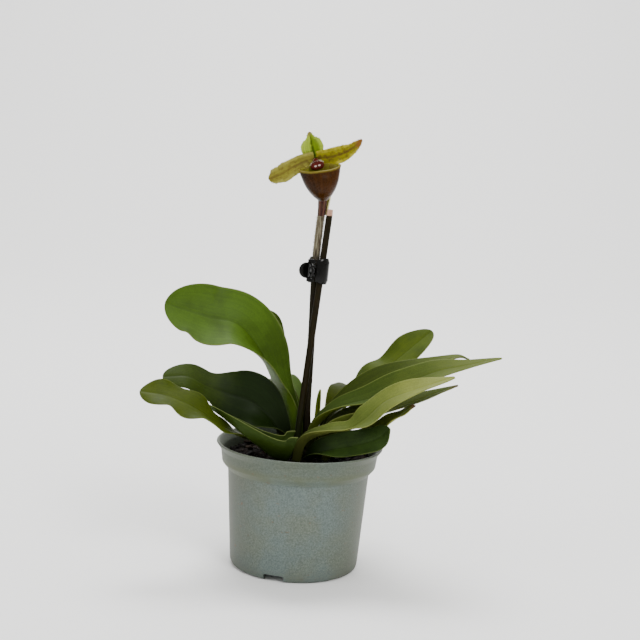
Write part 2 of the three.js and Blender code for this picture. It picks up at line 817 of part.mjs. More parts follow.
/** A finger tab: a plate that stands out from the hinge, with a round end. */
function fingerTab(angle) {
  const { tabLength, tabHeight, tabThick, knuckleRadius } = CLIP;
  const round = tabHeight / 2;
  const near = knuckleRadius + 1;
  const shape = new THREE.Shape();
  shape.moveTo(near, -round);
  shape.lineTo(tabLength - round, -round);
  shape.absarc(tabLength - round, 0, round, -Math.PI / 2, Math.PI / 2, false);
  shape.lineTo(near, round);
  shape.closePath();
  const tab = new THREE.ExtrudeGeometry(shape, { depth: tabThick, bevelEnabled: false, curveSegments: 6 });
  tab.translate(0, 0, -tabThick / 2).rotateX(Math.PI / 2).rotateZ(radians(angle));
  return solid(tab.translate(hingeX, hingeY, 0));
}

/** The long oval that the clip's wall and claws lie inside, so that it is lower at its two ends. */
function clipOval() {
  const away = CLIP.hingeAngle + 180;
  const [x, y] = polar(CLIP.ovalMiddle, away);
  const oval = new THREE.CylinderGeometry(1, 1, 40, 48).scale(CLIP.ovalReach, 1, CLIP.ovalRise);
  return solid(oval.rotateZ(radians(away)).translate(hingeX + x, hingeY + y, 0));
}

/** One half of the clip: wall round the stems, claws at its edge, knuckles on the pin and a finger tab. */
function clipHalf({ sense, claws, knuckles }) {
  const { height, clawHeight, hingeAngle, knuckleRadius, tabThick, tabSpread } = CLIP;
  const strip = (a, b, low, high) => wallStrip(hingeAngle + sense * a, hingeAngle + sense * b, low, high);
  const tabAngle = hingeAngle + sense * tabSpread;
  let body = strip(CLIP.wallFrom, CLIP.wallTo, -height / 2, height / 2);
  claws.forEach((z) => {
    body = body.add(strip(CLIP.clawFrom, CLIP.clawTo, z - clawHeight / 2, z + clawHeight / 2));
  });
  body = body.intersect(clipOval()).add(fingerTab(tabAngle));
  knuckles.forEach(([low, high]) => {
    const link = new THREE.BoxGeometry(knuckleRadius + 0.8, tabThick, high - low);
    link.translate(knuckleRadius + 0.3, 0, (low + high) / 2).rotateZ(radians(tabAngle));
    link.translate(hingeX, hingeY, 0);
    body = body.add(solid(hingeBar(knuckleRadius, low, high)));
    body = body.add(solid(link)).add(strip(2, CLIP.wallFrom + 2, low, high));
  });
  return geometryOf(body.subtract(solid(hingeBar(CLIP.pinRadius + CLIP.pinClearance, -height, height))));
}

/** The coil spring between the knuckles. */
function clipSpring() {
  const steps = 12 * SPRING.turns;
  const route = Array.from({ length: steps + 1 }, (_, i) => {
    const [x, y] = polar(SPRING.radius, 30 * i);
    return [hingeX + x, hingeY + y, SPRING.pitch * (i / 12 - SPRING.turns / 2)];
  });
  return tube(route, SPRING.wire, 6, steps, new THREE.Vector3(0, 0, 1));
}

// ---------------------------------------------------------------- the scene graph

const orchid = new THREE.Group();

/** Adds a named piece to a group. */
function addPiece(parent, name, geometry, material) {
  const mesh = new THREE.Mesh(geometry, material);
  mesh.name = name;
  parent.add(mesh);
  return mesh;
}

addPiece(orchid, 'pot', pot(), SURFACES.pot);
addPiece(orchid, 'soil', soil(), SURFACES.soil);
GROWTHS.forEach((growth) => addPiece(orchid, growth.name, growthStem(growth), SURFACES.growth));
LEAVES.forEach((leaf) => {
  const side = [-Math.sin(radians(leaf.heading)), Math.cos(radians(leaf.heading)), 0];
  addPiece(orchid, leaf.name, blade({ ...leaf, side }, LEAF), surface(leaf.tone, 0.45));
});

addPiece(orchid, 'stake', stakeTube(STAKE.radius, 0), SURFACES.stake);
addPiece(orchid, 'flower_stem', tube(SCAPE.route, SCAPE.radius, 12, 14), SURFACES.scape);
addPiece(orchid, 'ovary', tube(OVARY.route, OVARY.radii, 12, 12), SURFACES.ovary);
addPiece(orchid, 'bract', bract(), SURFACES.bract);

const flower = new THREE.Group();
flower.position.set(...FLOWER.place);
flower.rotation.set(radians(90 + FLOWER.nod), 0, radians(FLOWER.yaw), 'ZXY');
flower.rotateZ(radians(FLOWER.roll));
TEPALS.forEach((tepal) => addPiece(flower, tepal.name, blade(tepal, TEPAL), surface(tepal.tone, 0.5)));
addPiece(flower, 'pouch', pouch(), SURFACES.pouch);
addPiece(flower, 'column', column(), SURFACES.column);
orchid.add(flower);

const clip = new THREE.Group();
clip.position.set(...CLIP.middle);
clip.quaternion.setFromUnitVectors(new THREE.Vector3(0, 0, 1), new THREE.Vector3(...CLIP.lean).normalize());
addPiece(clip, 'clip_fixed_half', clipHalf(CLIP_FIXED), SURFACES.clip);
addPiece(clip, 'clip_moving_half', clipHalf(CLIP_MOVING), SURFACES.clip);
const pinEnd = CLIP.pinLength / 2;
addPiece(clip, 'clip_pin', hingeBar(CLIP.pinRadius, -pinEnd, pinEnd), SURFACES.steel);
addPiece(clip, 'clip_spring', clipSpring(), SURFACES.steel);
orchid.add(clip);

export default orchid;
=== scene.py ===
"""A slipper orchid (Paphiopedilum) in flower in a 9 cm nursery pot.

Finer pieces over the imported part, with their materials. Tables and sizes are in millimetres, as in
the part's source, and each mesh is scaled to metres when it is made. +Z is up, +Y is to the back.
"""

import math

import bmesh
import bpy
import numpy as np
from mathutils import Matrix, Vector, noise


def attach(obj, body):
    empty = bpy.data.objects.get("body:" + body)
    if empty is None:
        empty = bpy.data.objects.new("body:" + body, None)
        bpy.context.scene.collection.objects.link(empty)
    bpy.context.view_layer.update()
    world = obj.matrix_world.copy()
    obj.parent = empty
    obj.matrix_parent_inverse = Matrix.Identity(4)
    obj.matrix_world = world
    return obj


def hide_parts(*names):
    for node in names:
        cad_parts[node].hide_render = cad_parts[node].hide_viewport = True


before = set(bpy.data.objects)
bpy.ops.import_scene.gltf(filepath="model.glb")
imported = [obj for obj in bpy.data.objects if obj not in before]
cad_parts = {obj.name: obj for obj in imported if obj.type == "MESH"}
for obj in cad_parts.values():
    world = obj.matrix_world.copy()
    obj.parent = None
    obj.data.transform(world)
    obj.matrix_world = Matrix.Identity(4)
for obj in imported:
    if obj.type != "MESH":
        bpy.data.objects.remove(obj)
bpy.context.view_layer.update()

MM = 0.001

# ---------------------------------------------------------------- sizes

POT = dict(height=67.5, lip_radius=45, collar_top_radius=42.4, collar_low_radius=41.5,
           collar_depth=11, shoulder=3.6, body_top_radius=38.2, body_low_radius=34.8,
           base_edge_radius=2.6, wall=1.3, floor=1.6)
POT_BASE = dict(pad_radius=19, groove_radius=31, groove_depth=3.6, hole_radius=3.2, holes=6,
                hole_ring=25, notch_width=11, notch_height=3.6, notch_corner=0.8, notches=3,
                first_notch=-107)
SOIL = dict(level=59.3, gap=0.65, bump=1.7, calm_radius=17, chips=520, chip_reach=38.4,
            chip_limit=39.6)
STAKE = dict(radius=1.75, tip=(9.0, 1.7, 193.5), low=(-2.6, -4.0, 60), depth=30, cut=3.2)
STEM = dict(radius=1.95, route=[(3.4, 3.0, 64.0), (2.8, 3.2, 88), (2.9, 3.2, 108), (3.0, 3.2, 128),
                                (2.8, 3.1, 150), (3.1, 3.0, 170), (4.3, 3.0, 189)])
OVARY = dict(radii=[1.8, 2.2, 2.4, 2.3, 2.1, 2.2],
             route=[(4.4, 3.0, 189.4), (4.7, 3.4, 197), (3.9, 3.8, 206), (2.2, 3.0, 214),
                    (0.4, 0.4, 218.6), (-0.5, -3.2, 219.8)])
BRACT = dict(heading=43, waves=0, wave=0, phase=0, rows=[
    (7.0, 5.4, 190.2, 2.0, 66, 0), (7.8, 6.1, 195, 2.8, 66, 0), (8.5, 6.8, 200, 2.4, 60, 0),
    (9.1, 7.3, 205, 0.9, 30, 0)])
GROWTHS = {"growth_stem_flowering": dict(at=(3.3, 3.0), top=63.2, radius=2.4),
           "growth_stem_front": dict(at=(-1.6, -8.4), top=61.5, radius=2.2),
           "growth_stem_back": dict(at=(12.2, 12.2), top=62.0, radius=1.8)}
GROWTH_DEPTH = 14

# Rows of a blade's midrib: x, y, z, half its width, how far it is folded and turned, in degrees.
LEAVES = {
    "leaf_left_large": dict(heading=180, waves=2.2, wave=1.6, phase=0.6, rows=[
        (-3.5, 2.5, 59.8, 4.2, 88, 0), (-6.3, 3.2, 79, 7.1, 90, 0), (-15, 4.8, 96.7, 11.2, 84, -16),
        (-24.3, 2.6, 115.2, 15.4, 62, -36), (-36.5, 0, 129.6, 18, 36, -48),
        (-53, -3, 133.4, 18.2, 18, -56), (-75, -8, 139.7, 16, 12, -60)]),
    "leaf_left_upright": dict(heading=150, waves=1.5, wave=0.8, phase=0, rows=[
        (-1.5, 12, 59.8, 4, 84, 0), (-4, 14, 77, 6, 72, 0), (-11, 16, 91, 7.5, 56, 0),
        (-16.4, 17, 104, 8.5, 40, -10), (-18.6, 17, 117, 8.5, 30, -16), (-20.6, 16, 128, 7.5, 28, -16),
        (-22.4, 14.5, 136.2, 6, 28, -16)]),
    "leaf_left_back": dict(heading=118, waves=2, wave=1, phase=1.5, rows=[
        (2.5, 17, 59.8, 3.6, 84, 0), (-0.5, 22, 78, 6, 70, 0), (-7, 29, 88, 8.5, 46, 0),
        (-15, 40, 92, 10.5, 30, 0), (-21.5, 50, 91, 10, 18, 0), (-28, 61, 85, 7.5, 12, 0)]),
    "leaf_left_dark": dict(heading=185, waves=2.6, wave=1.4, phase=1.2, rows=[
        (-8.2, -2, 59.9, 3.2, 88, 0), (-12, -3, 73, 8, 74, -24), (-19, -4, 82.6, 12.8, 36, -56),
        (-28.5, -4.6, 89.8, 15.2, 12, -75), (-39, -6, 92.8, 13, 8, -70), (-50, -8.4, 96.8, 8, 6, -54),
        (-61, -11.4, 101.9, 8.5, 8, -38), (-74, -13.6, 101.4, 8.5, 8, -44)]),
    "leaf_left_edgeways": dict(heading=184, waves=2, wave=0.7, phase=0, rows=[
        (-6.5, -18, 60.9, 18, 98, 0), (-13, -18.8, 63, 14.5, 96, 0), (-20, -19.4, 68, 10.3, 90, 0),
        (-27, -20.4, 73.2, 7.2, 90, 0), (-35, -20, 79.3, 5.2, 72, 6), (-43, -17.6, 84.4, 3.2, 60, 10),
        (-52, -15.2, 89.2, 2.2, 40, 10)]),
    "leaf_left_low": dict(heading=208, waves=4.2, wave=1.8, phase=2.4, rows=[
        (-12, 4, 59.8, 3.4, 84, 0), (-18, 1, 64.5, 3.4, 60, 0), (-28, -8, 69.8, 4.2, 30, 0),
        (-37, -17, 75.2, 4.8, 20, -16), (-45, -24.5, 82, 7.2, 20, -30), (-56, -30, 89.8, 9.6, 14, -38),
        (-69, -32.5, 95.2, 10.2, 10, -40), (-83, -33, 97, 8.6, 8, -42)]),
    "leaf_right_far": dict(heading=30, waves=2.4, wave=1.2, phase=0.4, rows=[
        (15.5, 8.5, 59.8, 4, 88, 0), (19, 15, 80, 5, 70, 0), (30, 21, 91.4, 4.8, 50, 8),
        (39.2, 26, 101.6, 8.6, 32, 16), (48.3, 30, 107.2, 8.6, 20, 20), (59.3, 34, 116.4, 10, 16, 22),
        (71.2, 38, 126.8, 8.8, 12, 24)]),
    "leaf_right_hooked": dict(heading=12, waves=2, wave=0.8, phase=2, rows=[
        (10.5, 3.2, 59.8, 4, 86, 0), (17, 7, 81, 6, 72, 0), (27, 9, 91, 8, 52, 20),
        (42, 12, 101, 8.5, 40, 28), (58, 13, 107.4, 8, 36, 22), (72, 13, 112, 6, 30, 15),
        (84, 14, 116.6, 3, 16, 0), (90, 13, 115.8, 2, 0, 0)]),
    "leaf_right_long": dict(heading=355, waves=2, wave=0.8, phase=1, rows=[
        (7, -2.5, 59.8, 4, 86, 0), (8.5, -3, 77, 5, 74, 0), (20, -3, 88, 6, 54, 20),
        (36, -4, 94, 8, 40, 30), (52, -5.5, 102, 10, 32, 32), (70, -7, 111, 8.5, 26, 30),
        (87, -9, 116, 4.5, 20, 20), (104, -10, 121, 3, 8, 10)]),
    "leaf_right_pale": dict(heading=348, waves=2.5, wave=1.3, phase=0, rows=[
        (0, -14, 59.9, 4.5, 84, 0), (3.5, -14.5, 71.5, 5.5, 70, 4), (15, -16, 77.5, 6, 50, 10),
        (26, -17.7, 80.3, 5.4, 34, 16), (34, -19.8, 86.8, 9.2, 22, 38), (44, -21.5, 97, 9, 16, 28),
        (60, -25, 105, 8, 12, 22), (77.6, -28.5, 112.6, 4.6, 10, 20)]),
    "leaf_right_under": dict(heading=352, waves=2, wave=0.6, phase=0, rows=[
        (11, -4.5, 59.8, 3.6, 86, 0), (14.5, -4.2, 68, 5.4, 88, 0), (20.5, -3.4, 75, 10.6, 84, 2),
        (30, -2.8, 80.3, 10.6, 72, 6), (44, -3.2, 87, 9, 44, 20), (65, -6, 96.5, 5.5, 26, 18),
        (82, -9, 105, 3, 14, 0)]),
    "leaf_right_curled": dict(heading=345, waves=3, wave=1, phase=0.7, rows=[
        (14, -9, 59.8, 3.4, 84, 0), (21, -10, 68, 4, 64, 6), (33, -12.5, 75, 5.5, 40, 24),
        (44, -16, 82.8, 5.2, 28, 26), (52, -18.5, 89.6, 4.4, 20, 20), (59, -20.5, 95.2, 2.8, 14, 14)]),
    "leaf_right_rim": dict(heading=348, waves=2, wave=0.6, phase=0.2, rows=[
        (5, -11, 59.9, 4.5, 84, 10), (12, -14.8, 66, 7.8, 62, 30), (22, -18.5, 69.8, 8.4, 40, 46),
        (33, -21.8, 73.6, 7.7, 24, 52), (41, -24.5, 77.7, 7, 12, 52), (46, -27.5, 83.5, 5.5, 8, 45)]),
    "leaf_back_short": dict(heading=72, waves=2, wave=1, phase=0.9, rows=[
        (14, 16, 59.8, 3.6, 84, 0), (17, 21, 74, 6, 68, 0), (21, 30, 83.5, 8.5, 46, 0),
        (25, 42, 88.5, 10, 30, 0), (29, 55, 88.5, 10, 18, 0), (33, 67, 85, 7.5, 12, 0)]),
    "leaf_new_shoot": dict(heading=60, waves=1, wave=0.2, phase=0, rows=[
        (9, 14.5, 59.8, 2.2, 92, 0), (9.2, 15, 72, 2.6, 90, 0), (9.4, 15.2, 84, 2.2, 84, 0),
        (9.5, 15, 94, 1, 70, 0)]),
}
TEPALS = {
    "petal_right": dict(side=(0, 1, 0), waves=3.4, wave=1.1, phase=0.5, rows=[
        (0.7, 0.3, 0.9, 3.6, 4, 0), (6, -0.7, 1.6, 4.2, 6, -6), (12, -0.9, 2.2, 4.5, 8, -10),
        (17, -0.3, 2.7, 3.7, 6, -16), (21.5, 1.3, 2.6, 2.4, 4, -20), (26, 3.6, 1.6, 1.2, 2, -20)]),
    "petal_left": dict(side=(0, -1, 0), waves=3.4, wave=1.1, phase=2.2, rows=[
        (-0.3, 0.3, 0.9, 3.6, 4, 0), (-6, 0.2, 1.8, 4, 6, 8), (-12, -0.9, 2.8, 4.4, 8, 14),
        (-17, -2.4, 3, 4.8, 6, 18), (-21.5, -3.2, 2.6, 4.2, 4, 20), (-26, -4, 1.6, 3, 2, 20)]),
    "dorsal_sepal": dict(side=(-1, 0, 0), waves=1.5, wave=0.4, phase=0, rows=[
        (0, 0.4, -0.9, 2.6, 4, 0), (0, 4.4, -0.6, 5.8, -6, 0), (0, 8.2, 2.2, 5.1, -24, 0),
        (0, 11.6, 6.4, 2.2, -28, 0), (-0.2, 15.2, 10.6, 1, -10, 0)]),
    "synsepal": dict(side=(-1, 0, 0), waves=1, wave=0.3, phase=0, rows=[
        (0, -3.1, -0.55, 2.2, 5, 180), (-0.4, -8, -1.8, 5.2, 14, 180), (-0.9, -13, -2.2, 5.6, 14, 180),
        (-1.6, -19.5, -2, 2, 8, 180)]),
}
LEAF = dict(thickness=0.95, steps=120, across=26)
TEPAL = dict(thickness=0.7, steps=96, across=24)
FLOWER = dict(place=(-0.5, -5.5, 219.6), roll=18, yaw=5, nod=6)
POUCH = dict(sides=96, wall=0.8, rim=(0.6, -5.0), turn=-7.5, toe=(16.4, 8.3), horn_lift=1.2,
             horn_depth=6, back_lift=2.2, crest=0.22, crest_width=0.13,
             rings=[(0, 11.2, 6.6, 8.8), (1.6, 10.5, 6.6, 9.0), (4.5, 9.6, 7.0, 9.4),
                    (8, 8.3, 7.1, 9.5), (11, 6.7, 6.4, 9.3), (13.6, 4.8, 4.8, 8.9),
                    (15.4, 3.0, 3.0, 8.5)])
COLUMN = dict(root=1.6, radius=1.4, reach=5, shield_width=7.2, shield_height=4.9, shield_thick=1.1,
              shield_drop=3.1, shield_flat=0.35, tilt=-12)
CLIP = dict(middle=(4.5, 1.7, 160.8), lean=(0.045, 0.02, 1), hinge_reach=5.6, hinge_angle=237,
            inner_radius=4.4, wall=1.3, wall_from=19, wall_to=120, claw_from=100, claw_to=188,
            height=14, claw_height=1.6, tab_length=7.6, tab_height=8.4, tab_spread=34,
            tab_thick=1.3, pin_radius=0.6, pin_clearance=0.15, knuckle_radius=1.5, oval_middle=6,
            oval_reach=9.6, oval_rise=7.3, pin_length=11.8, web_from=14, web_to=21, melt=0.2)
CLIP_FIXED = dict(sense=-1, claws=[-2.2, 2.2], knuckles=[(-5.9, -3.6), (3.6, 5.9)])
CLIP_MOVING = dict(sense=1, claws=[-4.4, 0, 4.4], knuckles=[(-3.3, -1.6), (1.6, 3.3)])
SPRING = dict(wire=0.22, radius=1.08, turns=3.5, pitch=0.6)


# ---------------------------------------------------------------- materials

def srgb(*channels):
    """A colour from its 0 to 255 sRGB values."""
    return tuple((c / 255 / 12.92) if c <= 10 else ((c / 255 + 0.055) / 1.055) ** 2.4
                 for c in channels)


class Paint:
    """A node material under construction, with its Principled shader and short calls for its nodes."""

    def __init__(self, name, **fixed):
        self.material = bpy.data.materials.new(name)
        self.material.use_nodes = True
        self.tree = self.material.node_tree
        self.tree.nodes.clear()
        self.shader = self.node("BsdfPrincipled")
        self.feed(self.node("OutputMaterial").inputs["Surface"], self.shader.outputs[0])
        for socket, value in fixed.items():
            self.shader.inputs[socket.replace("_", " ")].default_value = value
        coordinates = self.node("TexCoord")
        self.place = self.stretch(coordinates.outputs["Object"], 1 / MM, 1 / MM, 1 / MM)
        self.u, self.v, _ = self.split(coordinates.outputs["UV"])

    def feed(self, socket, value):
        """Links a socket into another, or sets it: three numbers are an sRGB colour, four a plain one."""
        if isinstance(value, bpy.types.NodeSocket):
            self.tree.links.new(value, socket)
        elif isinstance(value, tuple) and len(value) == 3 and socket.type == "RGBA":
            socket.default_value = (*srgb(*value), 1)
        else:
            socket.default_value = value

    def node(self, kind, *values, **settings):
        """A new node with its settings, its first inputs fed with the values."""
        node = self.tree.nodes.new("ShaderNode" + kind)
        for setting, value in settings.items():
            setattr(node, setting, value)
        for socket, value in zip(node.inputs, values):
            self.feed(socket, value)
        return node

    def math(self, operation, a, b=0.0):
        return self.node("Math", a, b, operation=operation).outputs[0]

    def plus(self, a, b):
        return self.math("ADD", a, b)

    def times(self, a, b):
        return self.math("MULTIPLY", a, b)

    def stretch(self, vector, x, y, z):
        return self.node("VectorMath", vector, (x, y, z), operation="MULTIPLY").outputs[0]

    def join(self, x, y, z=0.0):
        return self.node("CombineXYZ", x, y, z).outputs[0]

    def split(self, vector):
        return self.node("SeparateXYZ", vector).outputs

    def attribute(self, name):
        return self.node("Attribute", attribute_name=name).outputs["Fac"]

    def noise(self, scale, detail=2.0, roughness=0.5, at=None):
        """Smooth noise from 0 to 1, its scale in features per millimetre unless `at` is given."""
        node = self.node("TexNoise", self.place if at is None else at)
        for socket, value in (("Scale", scale), ("Detail", detail), ("Roughness", roughness)):
            node.inputs[socket].default_value = value
        return node.outputs["Fac"]

    def grain(self, x, y, z, detail=3.0, roughness=0.6):
        """Noise with so many features per millimetre along each axis."""
        return self.noise(1, detail, roughness, self.stretch(self.place, x, y, z))

    def veins(self, across, along, offset, detail=2.0, roughness=0.5):
        """Noise with so many features across and along a piece."""
        at = self.join(self.times(self.u, across), self.times(self.v, along), offset)
        return self.noise(1, detail, roughness, at)

    def cells(self, scale):
        """Distance to the middle of the nearest cell."""
        node = self.node("TexVoronoi", self.place)
        node.inputs["Scale"].default_value = scale
        return node.outputs["Distance"]

    def outwards(self):
        """How far out a blade's point lies: 0 on the midrib and 1 on a margin."""
        return self.math("ABSOLUTE", self.math("SUBTRACT", self.times(self.u, 2.0), 1.0))

    def sway(self, value, wander, far):
        """The value, moved by noise by up to half of `far` either way."""
        return self.plus(value, self.times(self.math("SUBTRACT", wander, 0.5), far))

    def part(self, value, low, high, to_low=0.0, to_high=1.0):
        """The value's way from low to high, smoothed, and kept between them."""
        return self.node("MapRange", value, low, high, to_low, to_high,
                         interpolation_type="SMOOTHSTEP").outputs[0]

    def mix(self, share, a, b, blend="MIX"):
        """Colour a, with its share of colour b laid over it."""
        node = self.node("Mix", data_type="RGBA", blend_type=blend)
        for socket, value in (("Factor", share), ("A", a), ("B", b)):
            self.feed(node.inputs[socket], value)
        return node.outputs["Result"]

    def lay(self, colour, other, value, low, high, most=1.0):
        """The colour, giving way to another one as the value goes from low to high."""
        return self.mix(self.part(value, low, high, 0, most), colour, other)

    def shade(self, colour, share):
        """The colour made darker or lighter: times the share."""
        return self.mix(1.0, colour, self.join(share, share, share), "MULTIPLY")

    def vary(self, colour, value, low, high, darkest, lightest):
        """The colour, made darker to lighter as the value goes from low to high."""
        return self.shade(colour, self.part(value, low, high, darkest, lightest))

    def ramp(self, value, *stops):
        """A colour by value, from (place, colour) stops."""
        node = self.node("ValToRGB", value)
        elements = node.color_ramp.elements
        for i, (place, colour) in enumerate(stops):
            element = elements[i] if i < 2 else elements.new(place)
            element.position, element.color = place, (*srgb(*colour), 1)
        return node.outputs["Color"]

    def finish(self, colour, roughness, relief=None, depth=0.1, strength=0.6):
        """Feeds the shader; relief is a height from 0 to 1, depth what it stands for, in millimetres."""
        self.feed(self.shader.inputs["Base Color"], colour)
        self.feed(self.shader.inputs["Roughness"], roughness)
        if relief is not None:
            bump = self.node("Bump")
            for socket, value in (("Strength", strength), ("Distance", depth * MM), ("Height", relief)):
                self.feed(bump.inputs[socket], value)
            self.feed(self.shader.inputs["Normal"], bump.outputs[0])
        return self.material


def leaf_material(name, light, dark, under, edge, painted_foot_shade=0.4, fade=None, tip=None, tip_from=0.9,
                  gloss=0.09):
    """A leathery leaf: veins along it, soft mottling, pale margin, paler underside and painted shade
    darkening its foot.

    With a fade, the dark tone gives way to the light one between those two places along the leaf: the
    leaf's own change of tone, and painted shade over its lower part.
    """
    paint = Paint(name, Specular_IOR_Level=gloss)
    outwards = paint.outwards()
    veins = paint.veins(34, 1, 3)
    fine = paint.veins(95, 3, 7, 1)
    patches = paint.noise(0.07, 3, 0.55)
    grain = paint.noise(1.5, 3, 0.65)
    # A fade is partly painted shade, darker over the lower leaf.
    if fade:
        upper = paint.lay(dark, light, paint.sway(paint.v, patches, 0.4), *fade)
    else:
        upper = paint.lay(dark, light, patches, 0.3, 0.66)
    upper = paint.vary(upper, veins, 0.25, 0.75, 0.88, 1.1)
    upper = paint.vary(upper, grain, 0.25, 0.75, 0.86, 1.14)
    # Painted shade along the midrib's groove on the upper side.
    upper = paint.lay(upper, paint.shade(upper, 0.6), outwards, 0.05, 0.0, 0.35)
    lower = paint.vary(paint.lay(under, light, patches, 0.3, 0.7), veins, 0.25, 0.75, 0.9, 1.08)
    colour = paint.lay(lower, upper, paint.attribute("upper"), 0.4, 0.6)
    colour = paint.lay(colour, edge, outwards, 0.95, 0.995, 0.7)
    # Painted shade: the leaf darker towards its foot.
    colour = paint.vary(colour, paint.v, 0.02, 0.34, painted_foot_shade, 1.0)
    if tip:
        reach = paint.sway(paint.v, grain, 0.05)
        colour = paint.lay(colour, tip, reach, tip_from, tip_from + 0.09)
    relief = paint.plus(paint.times(veins, 0.7), paint.times(fine, 0.4))
    return paint.finish(colour, paint.part(grain, 0.2, 0.8, 0.44, 0.58), relief, 0.12, 0.45)


def tissue_material(name, middle, body, edge, tip=None, tip_from=0.7, stripe=0.3, smudge=0.0,
                    side=None):
    """A petal or sepal: a smudged midline, veins along it, a paler margin and maybe a paler side."""
    paint = Paint(name, Specular_IOR_Level=0.12)
    outwards = paint.outwards()
    veins = paint.veins(26, 1.6, 5)
    patches = paint.noise(0.32, 3, 0.55)
    grain = paint.noise(2.6, 2, 0.6)
    wander = paint.sway(outwards, patches, 0.5)
    colour = paint.lay(body, edge, wander, 0.45, 0.95)
    if side:
        colour = paint.lay(colour, side, paint.u, 0.46, 0.6, 0.85)
    if smudge:
        blots = paint.part(paint.noise(0.55, 4, 0.65), 0.46, 0.66, 0, smudge)
        colour = paint.mix(paint.times(blots, paint.part(outwards, 0.95, 0.45)), colour, middle)
    colour = paint.lay(colour, middle, wander, stripe, 0.0, 0.75)
    colour = paint.vary(colour, veins, 0.3, 0.7, 0.8, 1.15)
    colour = paint.vary(colour, grain, 0.25, 0.75, 0.9, 1.1)
    if tip:
        reach = paint.sway(paint.v, patches, 0.4)
        colour = paint.lay(colour, tip, reach, tip_from, tip_from + 0.25, 0.9)
    relief = paint.plus(veins, paint.times(grain, 0.3))
    return paint.finish(colour, paint.part(grain, 0.2, 0.8, 0.42, 0.58), relief, 0.15, 0.6)


def pot_material():
    """Grey-green injection moulded plastic: fine even mottling, olive haze, faint brown scuffs, painted
    shade on its sides and collar.
    """
    paint = Paint("pot_plastic", Specular_IOR_Level=0.3)
    clouds = paint.noise(0.05, 3, 0.55)
    speckle = paint.noise(1.15, 3, 0.7)
    grit = paint.noise(4.2, 2, 0.6)
    x, _, height = paint.split(paint.place)
    colour = paint.lay((90, 102, 98), (92, 100, 89), clouds, 0.35, 0.7)
    # Painted shade: the right side darker and olive-grey, the left side more so.
    colour = paint.lay(colour, (77, 82, 68), x, 14, 38, 0.8)
    colour = paint.lay(colour, (66, 70, 56), x, -12, -38, 0.75)
    # Painted shade from the collar up, darker and olive.
    colour = paint.lay(colour, (76, 83, 68), height, 56, 58.5, 0.6)
    colour = paint.vary(colour, speckle, 0.28, 0.72, 0.72, 1.26)
    colour = paint.vary(colour, grit, 0.3, 0.7, 0.9, 1.1)
    band = paint.times(paint.part(height, 51.5, 55.5), paint.part(height, 60.5, 57.0))
    haze = paint.times(band, paint.part(clouds, 0.3, 0.6, 0.3, 0.65))
    colour = paint.mix(haze, colour, (80, 86, 62))
    dirt = paint.times(paint.part(height, 9, 0, 0, 0.5), paint.part(speckle, 0.4, 0.7))
    colour = paint.mix(dirt, colour, (64, 62, 46))
    scuffs = paint.grain(0.16, 0.16, 0.34)
    colour = paint.lay(colour, (96, 68, 46), scuffs, 0.665, 0.72, 0.45)
    relief = paint.plus(paint.times(speckle, 0.7), paint.times(grit, 0.5))
    return paint.finish(colour, paint.part(speckle, 0.2, 0.8, 0.44, 0.6), relief, 0.08, 0.5)


def bark_material():
    """Damp bark and peat: nearly black in the gaps, red-brown and grey-brown on the chips."""
    paint = Paint("bark_mix", Specular_IOR_Level=0.06)
    fibres = paint.grain(1.6, 0.5, 2.2)
    crumbs = paint.noise(0.9, 4, 0.65)
    colour = paint.ramp(paint.attribute("shade"), (0.0, (5, 3, 1)), (0.35, (12, 6, 3)),
                        (0.7, (22, 12, 6)), (1.0, (34, 23, 12)))
    colour = paint.vary(colour, fibres, 0.3, 0.7, 0.6, 1.25)
    colour = paint.lay(colour, (10, 7, 5), crumbs, 0.45, 0.7, 0.6)
    roughness = paint.part(crumbs, 0.2, 0.8, 0.62, 0.9)
    return paint.finish(colour, roughness, paint.plus(fibres, crumbs), 0.5, 0.9)


def growth_material():
    """The stubby stems at the heart of each fan: dark green, streaked with brown."""
    paint = Paint("growth_stem", Specular_IOR_Level=0.2)
    ribs = paint.grain(1.8, 1.8, 0.2, 2, 0.5)
    colour = paint.lay((38, 45, 15), (56, 47, 21), ribs, 0.35, 0.65)
    return paint.finish(colour, paint.part(ribs, 0.3, 0.7, 0.5, 0.65), ribs, 0.2, 0.6)


def stake_material():
    """A split cane dyed dark green, its cut end pale."""
    paint = Paint("stake_cane", Specular_IOR_Level=0.08)
    grain = paint.grain(3.2, 3.2, 0.16)
    height = paint.split(paint.place)[2]
    colour = paint.lay((17, 14, 3), (32, 25, 7), grain, 0.3, 0.7)
    colour = paint.lay(colour, (42, 37, 22), paint.noise(0.5, 3, 0.6), 0.56, 0.72, 0.35)
    colour = paint.lay(colour, (20, 27, 7), height, 96, 74, 0.8)
    pale = paint.lay((196, 160, 138), (166, 126, 106), grain, 0.3, 0.7)
    cut = STAKE["tip"][2] - STAKE["cut"]
    colour = paint.lay(colour, pale, paint.plus(height, paint.times(grain, 0.8)), cut, cut + 0.7)
    return paint.finish(colour, paint.part(grain, 0.3, 0.7, 0.42, 0.6), grain, 0.15, 0.6)


def stem_material():
    """The flower stem: dark purple-brown, turning pale grey-brown above the clip."""
    paint = Paint("flower_stem", Specular_IOR_Level=0.08)
    streaks = paint.grain(1.9, 1.9, 0.12)
    grain = paint.noise(1.6, 3, 0.6)
    height = paint.split(paint.place)[2]
    low = paint.lay((22, 15, 11), (31, 29, 13), streaks, 0.35, 0.65)
    high = paint.lay((58, 46, 34), (132, 126, 104), streaks, 0.35, 0.65)
    colour = paint.lay(low, high, paint.plus(height, paint.times(streaks, 12)), 166, 182)
    colour = paint.lay(colour, (40, 45, 16), height, 76, 62, 0.7)
    colour = paint.vary(colour, grain, 0.25, 0.75, 0.8, 1.2)
    return paint.finish(colour, paint.part(grain, 0.3, 0.7, 0.5, 0.7), streaks, 0.15, 0.5)


